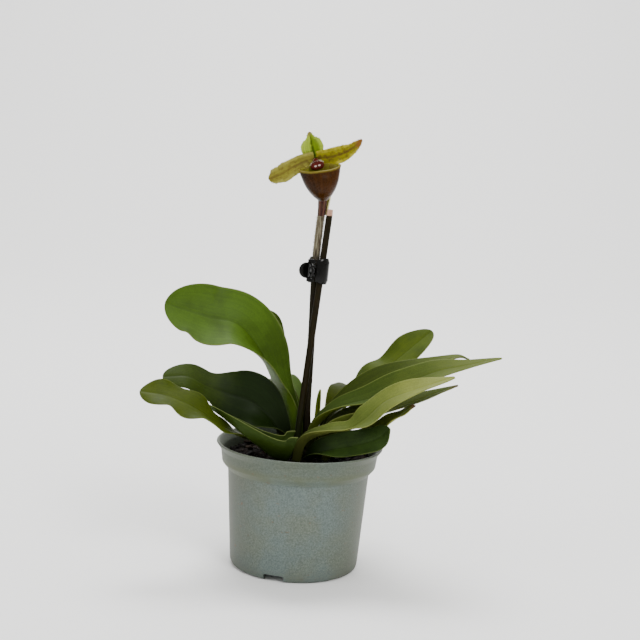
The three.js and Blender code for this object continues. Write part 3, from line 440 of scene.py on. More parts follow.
def ovary_material():
    """The ribbed ovary: dark red-brown ribs with paler grooves and olive patches."""
    paint = Paint("ovary", Specular_IOR_Level=0.2)
    patches = paint.noise(0.4, 3, 0.6)
    ribs = paint.math("ABSOLUTE", paint.math("SINE", paint.times(paint.u, 6 * math.pi)))
    colour = paint.lay((92, 58, 44), (52, 20, 16), ribs, 0.1, 0.8)
    colour = paint.lay(colour, (72, 56, 32), patches, 0.45, 0.65, 0.5)
    return paint.finish(colour, paint.part(patches, 0.3, 0.7, 0.5, 0.65), patches, 0.1, 0.5)


def hair_material(name, colour, dark):
    """Short plant hairs: pale, a little darker at random."""
    paint = Paint(name, Specular_IOR_Level=0.15)
    spread = paint.noise(0.9, 2)
    return paint.finish(paint.lay(dark, colour, spread, 0.3, 0.7),
                        paint.part(spread, 0.2, 0.8, 0.5, 0.7))


def pouch_material():
    """The pouch: glossy dark brown, redder to its right, veined, pale at the rim, yellow-green inside."""
    paint = Paint("pouch_skin", Specular_IOR_Level=0.1)
    veins = paint.veins(44, 2.4, 1, 3, 0.6)
    patches = paint.noise(0.22, 3, 0.6)
    grain = paint.noise(1.9, 2, 0.6)
    turn = paint.math("COSINE", paint.times(paint.math("SUBTRACT", paint.u, 0.1), 2 * math.pi))
    redder = paint.plus(paint.times(turn, 0.35), patches)
    colour = paint.lay((31, 15, 2), (55, 29, 3), redder, 0.2, 0.85)
    colour = paint.vary(colour, veins, 0.3, 0.7, 0.72, 1.22)
    deep = paint.plus(paint.v, paint.times(veins, 0.05))
    colour = paint.lay(colour, (112, 100, 34), deep, 0.1, 0.02)
    inside = paint.lay((116, 114, 32), (98, 84, 26), patches, 0.4, 0.65)
    inside = paint.lay(inside, (60, 30, 14), paint.cells(0.75), 0.3, 0.15, 0.6)
    colour = paint.mix(paint.attribute("inner"), colour, inside)
    relief = paint.plus(veins, paint.times(grain, 0.4))
    return paint.finish(colour, paint.part(grain, 0.2, 0.8, 0.22, 0.34), relief, 0.12, 0.5)


def column_material():
    """The shield over the pouch: maroon-red, with two white spots."""
    paint = Paint("column_shield", Specular_IOR_Level=0.08)
    grain = paint.noise(1.8, 3, 0.6)
    colour = paint.lay((60, 16, 12), (92, 28, 19), grain, 0.35, 0.65)
    at = paint.join(paint.u, paint.v)
    for spot in ((0.36, 0.46, 0), (0.64, 0.46, 0)):
        away = paint.node("VectorMath", at, spot, operation="DISTANCE").outputs["Value"]
        colour = paint.lay(colour, (212, 192, 180), away, 0.12, 0.06)
    return paint.finish(colour, paint.part(grain, 0.2, 0.8, 0.4, 0.56), grain, 0.1, 0.5)


def clip_material():
    """Glossy black plastic with fine handling marks."""
    paint = Paint("clip_plastic", Specular_IOR_Level=0.16)
    marks = paint.noise(1.1, 3, 0.65)
    colour = paint.lay((4, 4, 3), (9, 9, 7), marks, 0.3, 0.7)
    return paint.finish(colour, paint.part(marks, 0.25, 0.75, 0.09, 0.17), marks, 0.006, 0.4)


def steel_material():
    """Bright drawn steel wire."""
    paint = Paint("steel_wire", Metallic=1.0)
    marks = paint.noise(3.0, 2, 0.6)
    colour = paint.lay((104, 106, 107), (140, 141, 142), marks, 0.3, 0.7)
    return paint.finish(colour, paint.part(marks, 0.25, 0.75, 0.38, 0.55), marks, 0.02, 0.3)


# ---------------------------------------------------------------- mesh helpers

def polar(radius, degrees):
    return radius * math.cos(math.radians(degrees)), radius * math.sin(math.radians(degrees))


def circle(sides):
    """Angles evenly spaced round a circle, in radians."""
    return np.linspace(0, 2 * math.pi, sides, endpoint=False)


def rotation(degrees, axis, size=4):
    return Matrix.Rotation(math.radians(degrees), size, axis)


def unit(vectors):
    return vectors / np.maximum(np.linalg.norm(vectors, axis=-1, keepdims=True), 1e-12)


def placed(name, data):
    """A new object in the scene."""
    thing = bpy.data.objects.new(name, data)
    bpy.context.scene.collection.objects.link(thing)
    return thing


def faced_out(points, faces):
    """The faces of a closed form, turned round where they point inwards."""
    volume = 0.0
    for face in faces:
        first, rest = points[face[0]], points[list(face[1:])]
        volume += float(np.einsum("i,ji->", first, np.cross(rest[:-1], rest[1:])))
    return [tuple(reversed(face)) for face in faces] if volume < 0 else faces


class Shape:
    """Points and faces under construction, with numbers for each point and a paint for each face."""

    def __init__(self):
        self.points, self.faces, self.uvs, self.paints = [], [], [], []
        self.numbers = {}
        self.count = 0

    def add(self, points, faces, uv=None, paint=0, closed=True, **numbers):
        points = np.asarray(points, float).reshape(-1, 3)
        if closed:
            faces = faced_out(points, faces)
        self.faces += [tuple(i + self.count for i in face) for face in faces]
        self.paints += [paint] * len(faces)
        self.points.append(points)
        self.uvs.append(np.zeros((len(points), 2)) if uv is None else uv)
        for name, values in numbers.items():
            kept = self.numbers.setdefault(name, np.zeros(0))
            kept = np.concatenate([kept, np.zeros(self.count - len(kept))])
            self.numbers[name] = np.concatenate([kept, np.broadcast_to(values, (len(points),))])
        self.count += len(points)
        return self

    def build(self, name, paints, nodes, slot, body="root", matrix=None, sharp=None):
        """Makes the Blender object, which rides on a body and stands for the CAD nodes."""
        points = np.concatenate(self.points)
        if matrix is not None:
            points = points @ np.array(matrix.to_3x3()).T + np.array(matrix.translation)
        mesh = bpy.data.meshes.new(name)
        mesh.from_pydata((points * MM).tolist(), [], self.faces)
        uv = np.concatenate(self.uvs)
        corners = np.zeros(len(mesh.loops), np.int32)
        mesh.loops.foreach_get("vertex_index", corners)
        mesh.uv_layers.new(name="UVMap").data.foreach_set("uv", uv[corners].astype(np.float32).ravel())
        for key, values in self.numbers.items():
            values = np.concatenate([values, np.zeros(self.count - len(values))])
            layer = mesh.attributes.new(key, "FLOAT", "POINT")
            layer.data.foreach_set("value", values.astype(np.float32))
        for paint in paints:
            mesh.materials.append(paint)
        mesh.polygons.foreach_set("material_index", np.array(self.paints, np.int32))
        mesh.update()
        piece = placed(name, mesh)
        smooth(piece, sharp)
        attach(piece, body)
        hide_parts(*nodes)
        return piece


def smooth(piece, sharp=None):
    """Shades a piece smooth, apart from edges sharper than an angle."""
    piece.data.shade_smooth()
    if sharp:
        piece.data.set_sharp_from_angle(angle=math.radians(sharp))


def row_at(rows, t):
    """The row of numbers at t, from 0 to 1, along a smooth curve through the rows."""
    rows = np.asarray(rows, float)
    last = len(rows) - 1
    i = min(int(t * last), last - 1)
    f = t * last - i
    a, b = rows[i], rows[i + 1]
    before = rows[i - 1] if i > 0 else 2 * a - b
    after = rows[i + 2] if i + 2 <= last else 2 * b - a
    return a + 0.5 * f * (b - before + f * (2 * before - 5 * a + 4 * b - after
                                            + f * (3 * (a - b) + after - before)))


def heading_at(rows, t, near):
    """The direction in which the curve through the rows runs at t."""
    return unit(row_at(rows, min(t + near, 1))[:3] - row_at(rows, max(t - near, 0))[:3])


def skin(rings, around):
    """Faces of a closed skin over `rings` rings of `around` points, capped by the last two points."""
    start, end, last = rings * around, rings * around + 1, (rings - 1) * around
    faces = []
    for j in range(around):
        k = (j + 1) % around
        for i in range(0, last, around):
            faces.append((i + j, i + k, i + k + around, i + j + around))
        faces += [(start, k, j), (end, last + j, last + k)]
    return faces


def capped(rings):
    """The points of the rings, with a middle point for each end."""
    return np.concatenate([*rings, [rings[0].mean(0)], [rings[-1].mean(0)]])


def tube(shape, route, radii, sides, steps, east=(1, 0, 0), ribs=0, rib_depth=0.0, twist=0.0,
         round_ends=0.0):
    """Adds a tube through the points, with a radius at each, and returns its rings of points."""
    rows = [(*p, r) for p, r in zip(route, np.broadcast_to(radii, len(route)))]
    rings, uv = [], []
    angles = circle(sides)
    for i in range(steps + 1):
        t = i / steps
        row, along = row_at(rows, t), heading_at(rows, t, 0.01)
        side = unit(np.array(east, float) - np.dot(east, along) * along)
        up = np.cross(along, side)
        radius = row[3] * (1 + rib_depth * np.cos(ribs * (angles + twist * t)))
        if min(i, steps - i) < 3:
            radius = radius * (0.62, 0.86, 0.96)[min(i, steps - i)] ** round_ends
        x, y = radius * np.cos(angles), radius * np.sin(angles)
        rings.append(row[:3] + np.outer(x, side) + np.outer(y, up))
        uv.append(np.stack([(angles + twist * t) / (2 * math.pi), np.full(sides, t)], 1))
    shape.add(capped(rings), skin(steps + 1, sides), np.concatenate([*uv, [(0, 0)], [(0, 1)]]))
    return np.array(rings)


def turned(outline, sides):
    """Points and faces of a round piece turned about Z from its outline, from axis to axis."""
    angles = circle(sides)
    rings = [np.stack([r * np.cos(angles), r * np.sin(angles), np.full(sides, z)], 1)
             for r, z in outline[1:-1]]
    ends = [(0, 0, outline[0][1]), (0, 0, outline[-1][1])]
    return np.concatenate([*rings, ends]), skin(len(rings), sides)


def prism(outline, low, high):
    """Points and faces of an upright prism over an outline in x and y."""
    n = len(outline)
    points = np.array([(x, y, z) for z in (low, high) for x, y in outline], float)
    faces = [tuple(range(n - 1, -1, -1)), tuple(range(n, 2 * n))]
    faces += [(k, (k + 1) % n, n + (k + 1) % n, n + k) for k in range(n)]
    return points, faces


def rounded(outline, cut):
    """The outline with each corner cut back and rounded by a curve of four parts."""
    outline = [np.array(p, float) for p in outline]
    made = [outline[0]]
    for before, corner, after in zip(outline, outline[1:], outline[2:]):
        start, end = (corner + unit(p - corner) * min(cut, 0.45 * np.linalg.norm(p - corner))
                      for p in (before, after))
        made += [(1 - t) ** 2 * start + 2 * t * (1 - t) * corner + t * t * end
                 for t in (0, 0.25, 0.5, 0.75, 1)]
    return [*made, outline[-1]]


def hairs(shape, roots, directions, lengths, radius=0.03, paint=1):
    """Adds a thin three-sided hair at each root."""
    directions = unit(directions)
    helper = np.where(np.abs(directions[:, 2:3]) < 0.8, [[0, 0, 1.0]], [[1.0, 0, 0]])
    side = unit(np.cross(directions, helper))
    up = np.cross(directions, side)
    corners = [roots - directions * 0.1 + radius * (math.cos(a) * side + math.sin(a) * up)
               for a in circle(3)]
    tips = roots + directions * lengths[:, None]
    points = np.stack([*corners, tips], 1).reshape(-1, 3)
    sides = ((0, 1, 3), (1, 2, 3), (2, 0, 3), (2, 1, 0))
    faces = [(i + a, i + b, i + c) for i in range(0, len(points), 4) for a, b, c in sides]
    shape.add(points, faces, paint=paint, closed=False)


def hairs_on_tube(shape, rings, count, seed, low, high, length, radius=0.03, paint=1):
    """Adds hairs all over the rings of a tube, between two shares of its length."""
    draw = np.random.default_rng(seed)
    steps, sides = rings.shape[:2]
    i = (draw.uniform(low, high, count) * (steps - 1)).astype(int)
    j = draw.integers(0, sides, count)
    root, next_root = rings[i, j], rings[np.minimum(i + 1, steps - 1), j]
    spot = root + (next_root - root) * draw.uniform(0, 1, (count, 1))
    out = unit(root - rings.mean(1)[i]) + draw.normal(0, 0.25, (count, 3))
    hairs(shape, spot, out, draw.uniform(*length, count), radius, paint)


# ---------------------------------------------------------------- blades

def section(v, fold):
    """How far out and up a half blade's section lies at v, 0 at the midrib and 1 at the margin."""
    crease = 0.35 * fold
    bend = fold - crease
    if abs(bend) < 1e-3:
        return v, np.zeros_like(v)
    slope = crease + bend * v
    return (np.sin(slope) - math.sin(crease)) / bend, (math.cos(crease) - np.cos(slope)) / bend


def tip_share(s):
    """Rounds a blade's end: the share of its width that is left at s."""
    start, least = 0.8, 0.05
    return 1 if s < start else max(least, math.sqrt(max(0, 1 - ((s - start) / (1 - start)) ** 2.4)))


def blade_grid(blade, steps, across, crimp=0.0, crimps=0, scallops=()):
    """The middle surface of a blade as a grid of points, the shares across it and along it.

    A scallop is a margin's side, its place along the blade, its reach and how far it goes out.
    """
    if "heading" in blade:
        lean = np.array([*polar(1, blade["heading"] + 90), 0])
    else:
        lean = np.array(blade["side"], float)
    rows = blade["rows"]
    widest = max(row[3] for row in rows)
    # Points lie closer at the midrib and the margins, and rows closer at the tip.
    inner = np.linspace(-1, 1, across - 1)
    v = np.concatenate([[-1], 0.982 * np.sign(inner) * np.abs(inner) ** 1.2, [1]])
    shift = np.where(v > 0, 1.3, 0)
    shares = [1 - (1 - i / steps) ** 1.25 for i in range(steps + 1)]
    grid = []
    for s in shares:
        x, y, z, half, fold, turn = row_at(rows, s)
        along = heading_at(rows, s, 0.005)
        flat = unit(lean - np.dot(lean, along) * along)
        c, d = polar(1, turn)
        flat = flat * c + np.cross(along, flat) * d
        width = half * tip_share(s)
        ripple = blade["wave"] * min(1, s / 0.4) * width / widest
        out, up = section(np.abs(v), math.radians(fold))
        wave = np.sin(2 * math.pi * blade["waves"] * s + blade["phase"] + shift)
        frill = min(1, s / 0.12) * min(1, (1 - s) / 0.06)
        frills = np.sin(2 * math.pi * crimps * s + 2.1 * shift + 1.7 * math.sin(9 * s + shift[0]))
        lift = width * up + ripple * v * v * wave + crimp * frill * np.abs(v) ** 3 * frills
        out = width * out * np.sign(v)
        for side, place, reach, far in scallops:
            share = side * np.maximum(0, v * side) ** 3
            out = out + far * math.exp(-((s - place) / reach) ** 2) * share
        face = np.cross(along, flat)
        grid.append(np.array([x, y, z]) + np.outer(out, flat) + np.outer(lift, face))
    return np.array(grid), v, np.array(shares)


def add_blade(shape, blade, size, groove=0.2, keel=0.3, **margin):
    """Adds a closed blade: thickest at the midrib, with a groove above and a keel below.

    Returns the grid of its middle surface and the way up from it.
    """
    grid, v, s = blade_grid(blade, size["steps"], size["across"], **margin)
    rows, columns = grid.shape[:2]
    over = unit(np.cross(np.gradient(grid, axis=0), np.gradient(grid, axis=1)))
    thin = 0.38
    fullness = (thin + (1 - thin) * np.sqrt(np.maximum(0, 1 - v * v)))[None, :, None]
    half = 0.5 * size["thickness"] * fullness
    width = np.linalg.norm(grid[:, -1] - grid[:, 0], axis=1)[:, None] / 2
    # The groove and the keel keep near the midrib, and fade where the blade is narrow.
    near = np.minimum(1, width / 3) * np.exp(-((np.abs(v)[None, :] * width) / 0.7) ** 2)
    top = grid + over * (half - groove * near[..., None])
    under = grid - over * (half + keel * near[..., None])
    points = np.concatenate([top.reshape(-1, 3), under.reshape(-1, 3)])
    lower = rows * columns
    faces = []
    for i in range(rows - 1):
        for a in range(i * columns, (i + 1) * columns - 1):
            quad = (a, a + 1, a + columns + 1, a + columns)
            faces += [quad, tuple(lower + k for k in reversed(quad))]
    rim = [*range(columns), *(columns * i + columns - 1 for i in range(1, rows)),
           *range(lower - 2, lower - columns - 1, -1), *(columns * i for i in range(rows - 2, 0, -1))]
    faces += [(b, a, a + lower, b + lower) for a, b in zip(rim, rim[1:] + rim[:1])]
    uv = np.stack(np.broadcast_arrays((v[None, :] + 1) / 2, s[:, None]), 2).reshape(-1, 2)
    upper = np.concatenate([np.ones(lower), np.zeros(lower)])
    shape.add(points, faces, np.concatenate([uv, uv]), upper=upper)
    return grid, over


def margin_hairs(shape, grid, over, count, seed, length):
    """Adds hairs along both margins of a blade."""
    draw = np.random.default_rng(seed)
    for edge, inner in ((0, 2), (-1, -3)):
        line = grid[:, edge]
        i = (draw.uniform(0.06, 1, count) * (len(line) - 1)).astype(int)
        away = unit(line[i] - grid[i, inner]) + over[i, edge] * draw.normal(0, 0.35, (count, 1))
        hairs(shape, line[i], away + draw.normal(0, 0.2, (count, 3)), draw.uniform(*length, count))


# ---------------------------------------------------------------- pot and bark

collar_low = POT["height"] - POT["collar_depth"]
shoulder_low = collar_low - POT["shoulder"]
inner_low = POT["body_low_radius"] - POT["wall"]
inner_high = POT["body_top_radius"] - POT["wall"]
floor_top = POT_BASE["groove_depth"] + POT["floor"]


def cutter(points, faces):
    """A closed object for cutting."""
    mesh = bpy.data.meshes.new("cutter")
    mesh.from_pydata((points * MM).tolist(), [], faces)
    return placed("cutter", mesh)


def apply_modifiers(piece):
    """Puts the result of the piece's modifiers in its mesh."""
    made = bpy.data.meshes.new_from_object(piece.evaluated_get(bpy.context.evaluated_depsgraph_get()))
    piece.modifiers.clear()
    piece.data = made


def build_pot():
    """The pot: a moulded shell with a rounded lip, drain holes in its floor and notches at its foot."""
    pad, groove, depth = (POT_BASE[key] for key in ("pad_radius", "groove_radius", "groove_depth"))
    edge, low, body = POT["base_edge_radius"], POT["body_low_radius"], POT["body_top_radius"]
    collar, neck, wall = POT["collar_low_radius"], POT["collar_top_radius"], POT["wall"]
    lip, top = POT["lip_radius"], POT["height"]
    outline = rounded([
        (0, 0), (pad, 0), (pad + 1.5, depth), (groove - 1, depth), (groove, 0),
        (low - edge * 0.8, 0), (low - edge * 0.25, edge * 0.3), (low, edge),
        (body, shoulder_low), (body + 1.2, shoulder_low + 1.2), (collar, collar_low),
        (neck, top - 4.2), (lip - 0.8, top - 1.6), (lip, top - 0.7), (lip - 0.5, top),
        (lip - 1.6, top - 0.3), (neck - wall, top - 4.2), (collar - wall, collar_low),
        (inner_high, shoulder_low), (inner_low, floor_top + 1.5), (inner_low - 1.5, floor_top),
        (0, floor_top)], cut=0.7)
    shape = Shape().add(*turned(outline, sides=160))
    pot = shape.build("pot_moulded", [pot_material()], ["pot"], "pot_plastic")
    tools = []
    radius = POT_BASE["hole_radius"]
    for angle in range(0, 360, 360 // POT_BASE["holes"]):
        points, faces = turned([(0, -4), (radius, -4), (radius, 9), (0, 9)], sides=32)
        tools.append(cutter(points + (*polar(POT_BASE["hole_ring"], angle), 0), faces))
    half, high, turn = (POT_BASE[key] for key in ("notch_width", "notch_height", "notch_corner"))
    half /= 2
    gate = [(-half, -high)] + [(-half + turn - turn * math.cos(a), high - turn + turn * math.sin(a))
                               for a in np.linspace(0, math.pi / 2, 6)]
    gate += [(-x, z) for x, z in reversed(gate)]
    for i in range(POT_BASE["notches"]):
        points, faces = prism(gate, low - 7, low + 5)
        c, s = polar(1, POT_BASE["first_notch"] + 360 * i / POT_BASE["notches"])
        points = points @ np.array([(-s, c, 0), (0, 0, 1), (c, s, 0)])
        tools.append(cutter(points, faced_out(points, faces)))
    for tool in tools:
        cut = pot.modifiers.new("cut", "BOOLEAN")
        cut.operation, cut.object, cut.solver = "DIFFERENCE", tool, "EXACT"
    apply_modifiers(pot)
    for tool in tools:
        bpy.data.objects.remove(tool)
    smooth(pot, sharp=38)


def soil_height(x, y):
    """Height of the bark's top: rough at the edge, calmer where the plants stand."""
    calm = min(1, max(0, (math.hypot(x, y) - SOIL["calm_radius"]) / 8))
    rough = math.sin(0.9 * x + 1.3) * math.cos(0.8 * y + 0.4) + 0.6 * math.sin(1.7 * x - 1.1 * y)
    return SOIL["level"] + SOIL["bump"] * 0.6 * calm * rough


def soil_radius(z):
    """The bark's radius at a height, a hair inside the pot's wall."""
    low = floor_top + 1.5
    if z < shoulder_low:
        return inner_low + (inner_high - inner_low) * (z - low) / (shoulder_low - low) - SOIL["gap"]
    step = POT["collar_low_radius"] - POT["body_top_radius"]
    return inner_high + step * min(1, (z - shoulder_low) / POT["shoulder"]) - SOIL["gap"]


def build_bark():
    """The bark mix: one rough body with loose-looking chips bedded in its top."""
    sides, bands = 144, 44
    shape, draw = Shape(), np.random.default_rng(11)
    angles = circle(sides)
    rings = []
    for z in (floor_top + 0.3, floor_top + 1.9, 20, 40, shoulder_low - 0.3, collar_low + 0.3):
        radius = soil_radius(max(z - 0.4, floor_top + 1.5)) - (2 if z < floor_top + 1 else 0)
        rings.append([(radius * math.cos(a), radius * math.sin(a), z) for a in angles])
    top = POT["collar_low_radius"] - POT["wall"] - SOIL["gap"]
    for i in range(bands, 0, -1):
        radius = top * i / bands
        rings.append([])
        for a in angles:
            x, y = radius * math.cos(a), radius * math.sin(a)
            rough = noise.fractal(Vector((0.32 * x, 0.32 * y, 3.1)), 0.8, 2.1, 4)
            rings[-1].append((x, y, soil_height(x, y) + 0.9 * rough - 0.3))
    ends = [(0, 0, floor_top + 0.3), (0, 0, SOIL["level"] - 0.3)]
    shape.add(np.concatenate([*rings, ends]), skin(len(rings), sides), shade=0.12)
    chip = bmesh.new()
    bmesh.ops.create_icosphere(chip, subdivisions=2, radius=1)
    ball = np.array([v.co for v in chip.verts])
    ball_faces = [tuple(v.index for v in f.verts) for f in chip.faces]
    chip.free()
    for k in range(SOIL["chips"]):
        reach = math.sqrt(draw.uniform(0.0, 1)) * SOIL["chip_reach"]
        angle = draw.uniform(0, 2 * math.pi)
        x, y = reach * math.cos(angle), reach * math.sin(angle)
        size = np.array([draw.uniform(1.6, 4.2), draw.uniform(1.0, 2.3), draw.uniform(0.5, 1.1)])
        size *= 0.55 if reach < SOIL["calm_radius"] else 1
        size *= min(1, (SOIL["chip_limit"] - reach) / size[0])
        bumps = [noise.noise(Vector(p) * 1.3 + Vector((k, 0, 0))) for p in ball]
        lump = np.sign(ball) * np.abs(ball) ** 0.62 * size * (1 + 0.22 * np.array(bumps)[:, None])
        tilt = Matrix.Rotation(draw.uniform(0, 6.3), 3, "Z")
        tilt = tilt @ Matrix.Rotation(draw.normal(0, 0.3), 3, "X")
        tilt = tilt @ Matrix.Rotation(draw.normal(0, 0.22), 3, "Y")
        lift = soil_height(x, y) + draw.uniform(-0.5, 0.25) * size[2] * 1.4
        shade = draw.uniform(0.15, 1) ** 1.4
        shape.add(lump @ np.array(tilt).T + (x, y, lift), ball_faces, shade=shade)
    shape.build("bark_mix_chips", [bark_material()], ["soil"], "bark_mix", sharp=55)


def build_growths():
    """The short stems that the fans of leaves grow from."""
    paint = growth_material()
    for name, growth in GROWTHS.items():
        low, radius, top = SOIL["level"] - GROWTH_DEPTH, growth["radius"], growth["top"]
        points, faces = turned(rounded([
            (0, low), (radius * 0.7, low), (radius, low + 2), (radius, top - 1.5),
            (radius * 0.6, top - 0.3), (0, top)], cut=0.8), sides=28)
        shape = Shape().add(points + (*growth["at"], 0), faces)
        shape.build(name + "_grown", [paint], [name], "growth_stem")


# ---------------------------------------------------------------- leaves

# Each leaf's slot and its tones: light and dark on the upper side, the underside and the margin.
GREENS = {
    "leaf_left_large": ("leaf", (63, 88, 20), (52, 73, 12), (60, 76, 22), (94, 106, 48)),
    "leaf_left_upright": ("leaf_olive", (60, 78, 16), (50, 66, 12), (54, 67, 20), (88, 98, 44)),
    "leaf_left_back": ("leaf", (56, 76, 18), (44, 62, 14), (56, 68, 24), (84, 94, 44)),
    "leaf_left_dark": ("leaf_dark", (45, 59, 7), (17, 31, 3), (30, 41, 12), (60, 74, 32)),
    "leaf_left_edgeways": ("leaf_olive", (44, 61, 15), (27, 43, 10), (42, 58, 15), (112, 122, 66)),
    "leaf_left_low": ("leaf", (59, 70, 8), (50, 62, 8), (56, 66, 20), (88, 98, 40)),
    "leaf_right_far": ("leaf", (65, 79, 9), (52, 66, 8), (60, 71, 18), (96, 104, 36)),
    "leaf_right_hooked": ("leaf_dark", (68, 80, 14), (50, 63, 8), (46, 56, 12), (84, 92, 32)),
    "leaf_right_long": ("leaf_olive", (77, 88, 25), (50, 66, 16), (62, 75, 24), (102, 112, 52)),
    "leaf_right_pale": ("leaf_olive", (114, 121, 54), (77, 89, 33), (94, 102, 42), (122, 128, 66)),
    "leaf_right_under": ("leaf_olive", (76, 88, 30), (50, 60, 16), (60, 68, 24), (96, 102, 48)),
    "leaf_right_curled": ("leaf_olive", (86, 94, 34), (66, 76, 22), (112, 118, 44), (136, 140, 66)),
    "leaf_right_rim": ("leaf_dark", (42, 61, 20), (29, 44, 14), (44, 58, 23), (76, 90, 40)),
    "leaf_back_short": ("leaf_dark", (46, 54, 10), (36, 43, 8), (42, 50, 12), (84, 90, 40)),
    "leaf_new_shoot": ("leaf_new", (96, 108, 26), (72, 90, 18), (92, 102, 34), (114, 124, 46)),
}
# What sets a leaf apart: painted shade at its foot, a fade that is partly painted shade, a brown tip, its
# gloss, scallops in its margins.
TRAITS = {
    "leaf_left_large": dict(painted_foot_shade=0.74, scallops=[(1, 0.9, 0.022, -1.8), (1, 0.8, 0.06, 0.7),
                                                 (1, 0.35, 0.1, 5.0)]),
    "leaf_left_upright": dict(painted_foot_shade=0.6),
    "leaf_left_dark": dict(fade=(0.5, 0.9)),
    "leaf_left_edgeways": dict(painted_foot_shade=0.85),
    "leaf_left_low": dict(painted_foot_shade=0.6, scallops=[(1, 0.83, 0.035, -2.2), (1, 0.74, 0.03, 0.5),
                                              (1, 0.66, 0.028, -1.4)]),
    "leaf_right_far": dict(painted_foot_shade=0.7, scallops=[(-1, 0.62, 0.05, -0.8), (-1, 0.5, 0.05, 0.7)]),
    "leaf_right_hooked": dict(fade=(0.45, 0.85), tip=(78, 60, 26), tip_from=0.96),
    "leaf_right_long": dict(fade=(0.4, 0.95), tip=(84, 60, 30), tip_from=0.985),
    "leaf_right_pale": dict(painted_foot_shade=0.15, fade=(0.55, 1.0)),
    "leaf_right_under": dict(fade=(0.3, 0.8), tip=(70, 54, 26), tip_from=0.93),
    "leaf_right_curled": dict(painted_foot_shade=0.6, tip=(74, 50, 28)),
    "leaf_right_rim": dict(painted_foot_shade=0.3),
    "leaf_back_short": dict(gloss=0.02),
}


def build_leaves():
    """Each leaf over its solid: the same blade with a crease, thin margins and many more facets."""
    for name, (slot, *tones) in GREENS.items():
        traits = dict(TRAITS.get(name, {}))
        shape = Shape()
        add_blade(shape, LEAVES[name], LEAF, scallops=traits.pop("scallops", ()))
        paint = leaf_material(name + "_skin", *tones, **traits)
        shape.build(name.replace("leaf", "blade"), [paint], [name], slot)


# ---------------------------------------------------------------- stake, stem, ovary and bract

def build_stems():
    """The stake, the hairy flower stem, the ribbed ovary and its bract."""
    tip, low = (np.array(STAKE[key], float) for key in ("tip", "low"))
    end = low + unit(low - tip) * STAKE["depth"]
    cane = Shape()
    tube(cane, [tip, (tip + end) / 2, end], STAKE["radius"], sides=32, steps=60, ribs=5,
         rib_depth=0.02, round_ends=0.35)
    cane.build("cane", [stake_material()], ["stake"], "stake")

    pale = hair_material("stem_hair", (132, 120, 96), (88, 76, 58))
    dark = hair_material("low_stem_hair", (58, 50, 36), (32, 26, 20))
    stem = Shape()
    route = [*STEM["route"][:-1], np.add(STEM["route"][-1], (0, 0, 0.8))]
    rings = tube(stem, route, STEM["radius"], sides=32, steps=90, ribs=6, rib_depth=0.015, twist=1.0)
    hairs_on_tube(stem, rings, count=1500, seed=5, low=0.0, high=0.8, length=(0.35, 0.75), paint=2)
    hairs_on_tube(stem, rings, count=1500, seed=6, low=0.8, high=1.0, length=(0.5, 1.0), radius=0.035)
    stem.build("hairy_stem", [stem_material(), pale, dark], ["flower_stem"], "stem_skin")

    ovary = Shape()
    rings = tube(ovary, OVARY["route"], OVARY["radii"], sides=48, steps=60, ribs=6, rib_depth=0.07,
                 twist=0.5)
    hairs_on_tube(ovary, rings, count=1300, seed=7, low=0.0, high=1.0, length=(0.35, 0.8))
    ovary.build("ribbed_ovary", [ovary_material(), pale], ["ovary"], "stem_skin")

    bract = Shape()
    blade = add_blade(bract, BRACT, dict(TEPAL, steps=60, across=18), crimp=0.15, crimps=4)
    margin_hairs(bract, *blade, count=90, seed=8, length=(0.3, 0.8))
    green = tissue_material("bract", (118, 112, 46), (172, 168, 84), (202, 198, 136))
    bract.build("bract_blade", [green, pale], ["bract"], "bract")


# ---------------------------------------------------------------- flower

# Each tepal's slot, how its margins are crimped, their hairs, and its tones: midline, body and margin.
TEPAL_LOOKS = {
    "petal_right": ("petal", dict(crimp=0.45, crimps=9), 170, [
        (74, 52, 12), (124, 118, 12), (156, 148, 34)],
        dict(tip=(112, 66, 26), tip_from=0.72, smudge=0.75)),
    "petal_left": ("petal", dict(crimp=0.45, crimps=8), 170, [
        (82, 64, 23), (120, 114, 36), (142, 138, 62)],
        dict(tip=(74, 60, 26), tip_from=0.85, stripe=0.24, smudge=0.6)),
    "dorsal_sepal": ("sepal", dict(crimp=0.25, crimps=6), 90, [
        (34, 50, 11), (112, 137, 14), (156, 176, 54)],
        dict(tip=(120, 92, 58), tip_from=0.8, stripe=0.2, side=(164, 187, 60))),
    "synsepal": ("sepal", dict(crimp=0.2, crimps=5), 90, [
        (84, 98, 28), (130, 138, 56), (168, 168, 98)], dict(stripe=0.15)),
}


def flower_place():
    """The flower's own frame: z out of its face, y up it."""
    turn = rotation(FLOWER["yaw"], "Z") @ rotation(90 + FLOWER["nod"], "X")
    return Matrix.Translation(FLOWER["place"]) @ turn @ rotation(FLOWER["roll"], "Z")


def build_tepals(place):
    """Petals and sepals, with crimped hairy margins."""
    fringe = hair_material("petal_hair", (110, 90, 46), (62, 40, 24))
    for seed, (name, (slot, margin, count, tones, look)) in enumerate(TEPAL_LOOKS.items(), 20):
        shape = Shape()
        blade = add_blade(shape, TEPALS[name], TEPAL, groove=0.08, keel=0.12, **margin)
        margin_hairs(shape, *blade, count, seed, length=(0.35, 1.0))
        paint = tissue_material(name + "_skin", *tones, **look)
        shape.build(name + "_blade", [paint, fringe], [name], slot, matrix=place)


def pouch_ring(depth, inset):
    """One ring of the pouch at a depth below its rim, set in by the wall where it is the inner skin."""
    rows = np.array(POUCH["rings"], float)
    spot = np.interp(depth, rows[:, 0], np.linspace(0, 1, len(rows)))
    _, half_width, half_depth, out = row_at(rows, float(spot))
    angles = circle(POUCH["sides"])
    c, s = np.cos(angles), np.sin(angles)
    lift = POUCH["horn_lift"] * c ** 4 + POUCH["back_lift"] * np.maximum(0, -s) ** 2
    lift = max(0, 1 - depth / POUCH["horn_depth"]) * lift
    crest = np.exp(-((angles - math.pi / 2 + 0.02) / POUCH["crest_width"]) ** 2)
    crest = POUCH["crest"] * crest * min(1, depth / 3)
    return np.stack([(half_width - inset) * c, lift - depth, out + (half_depth - inset + crest) * s], 1)


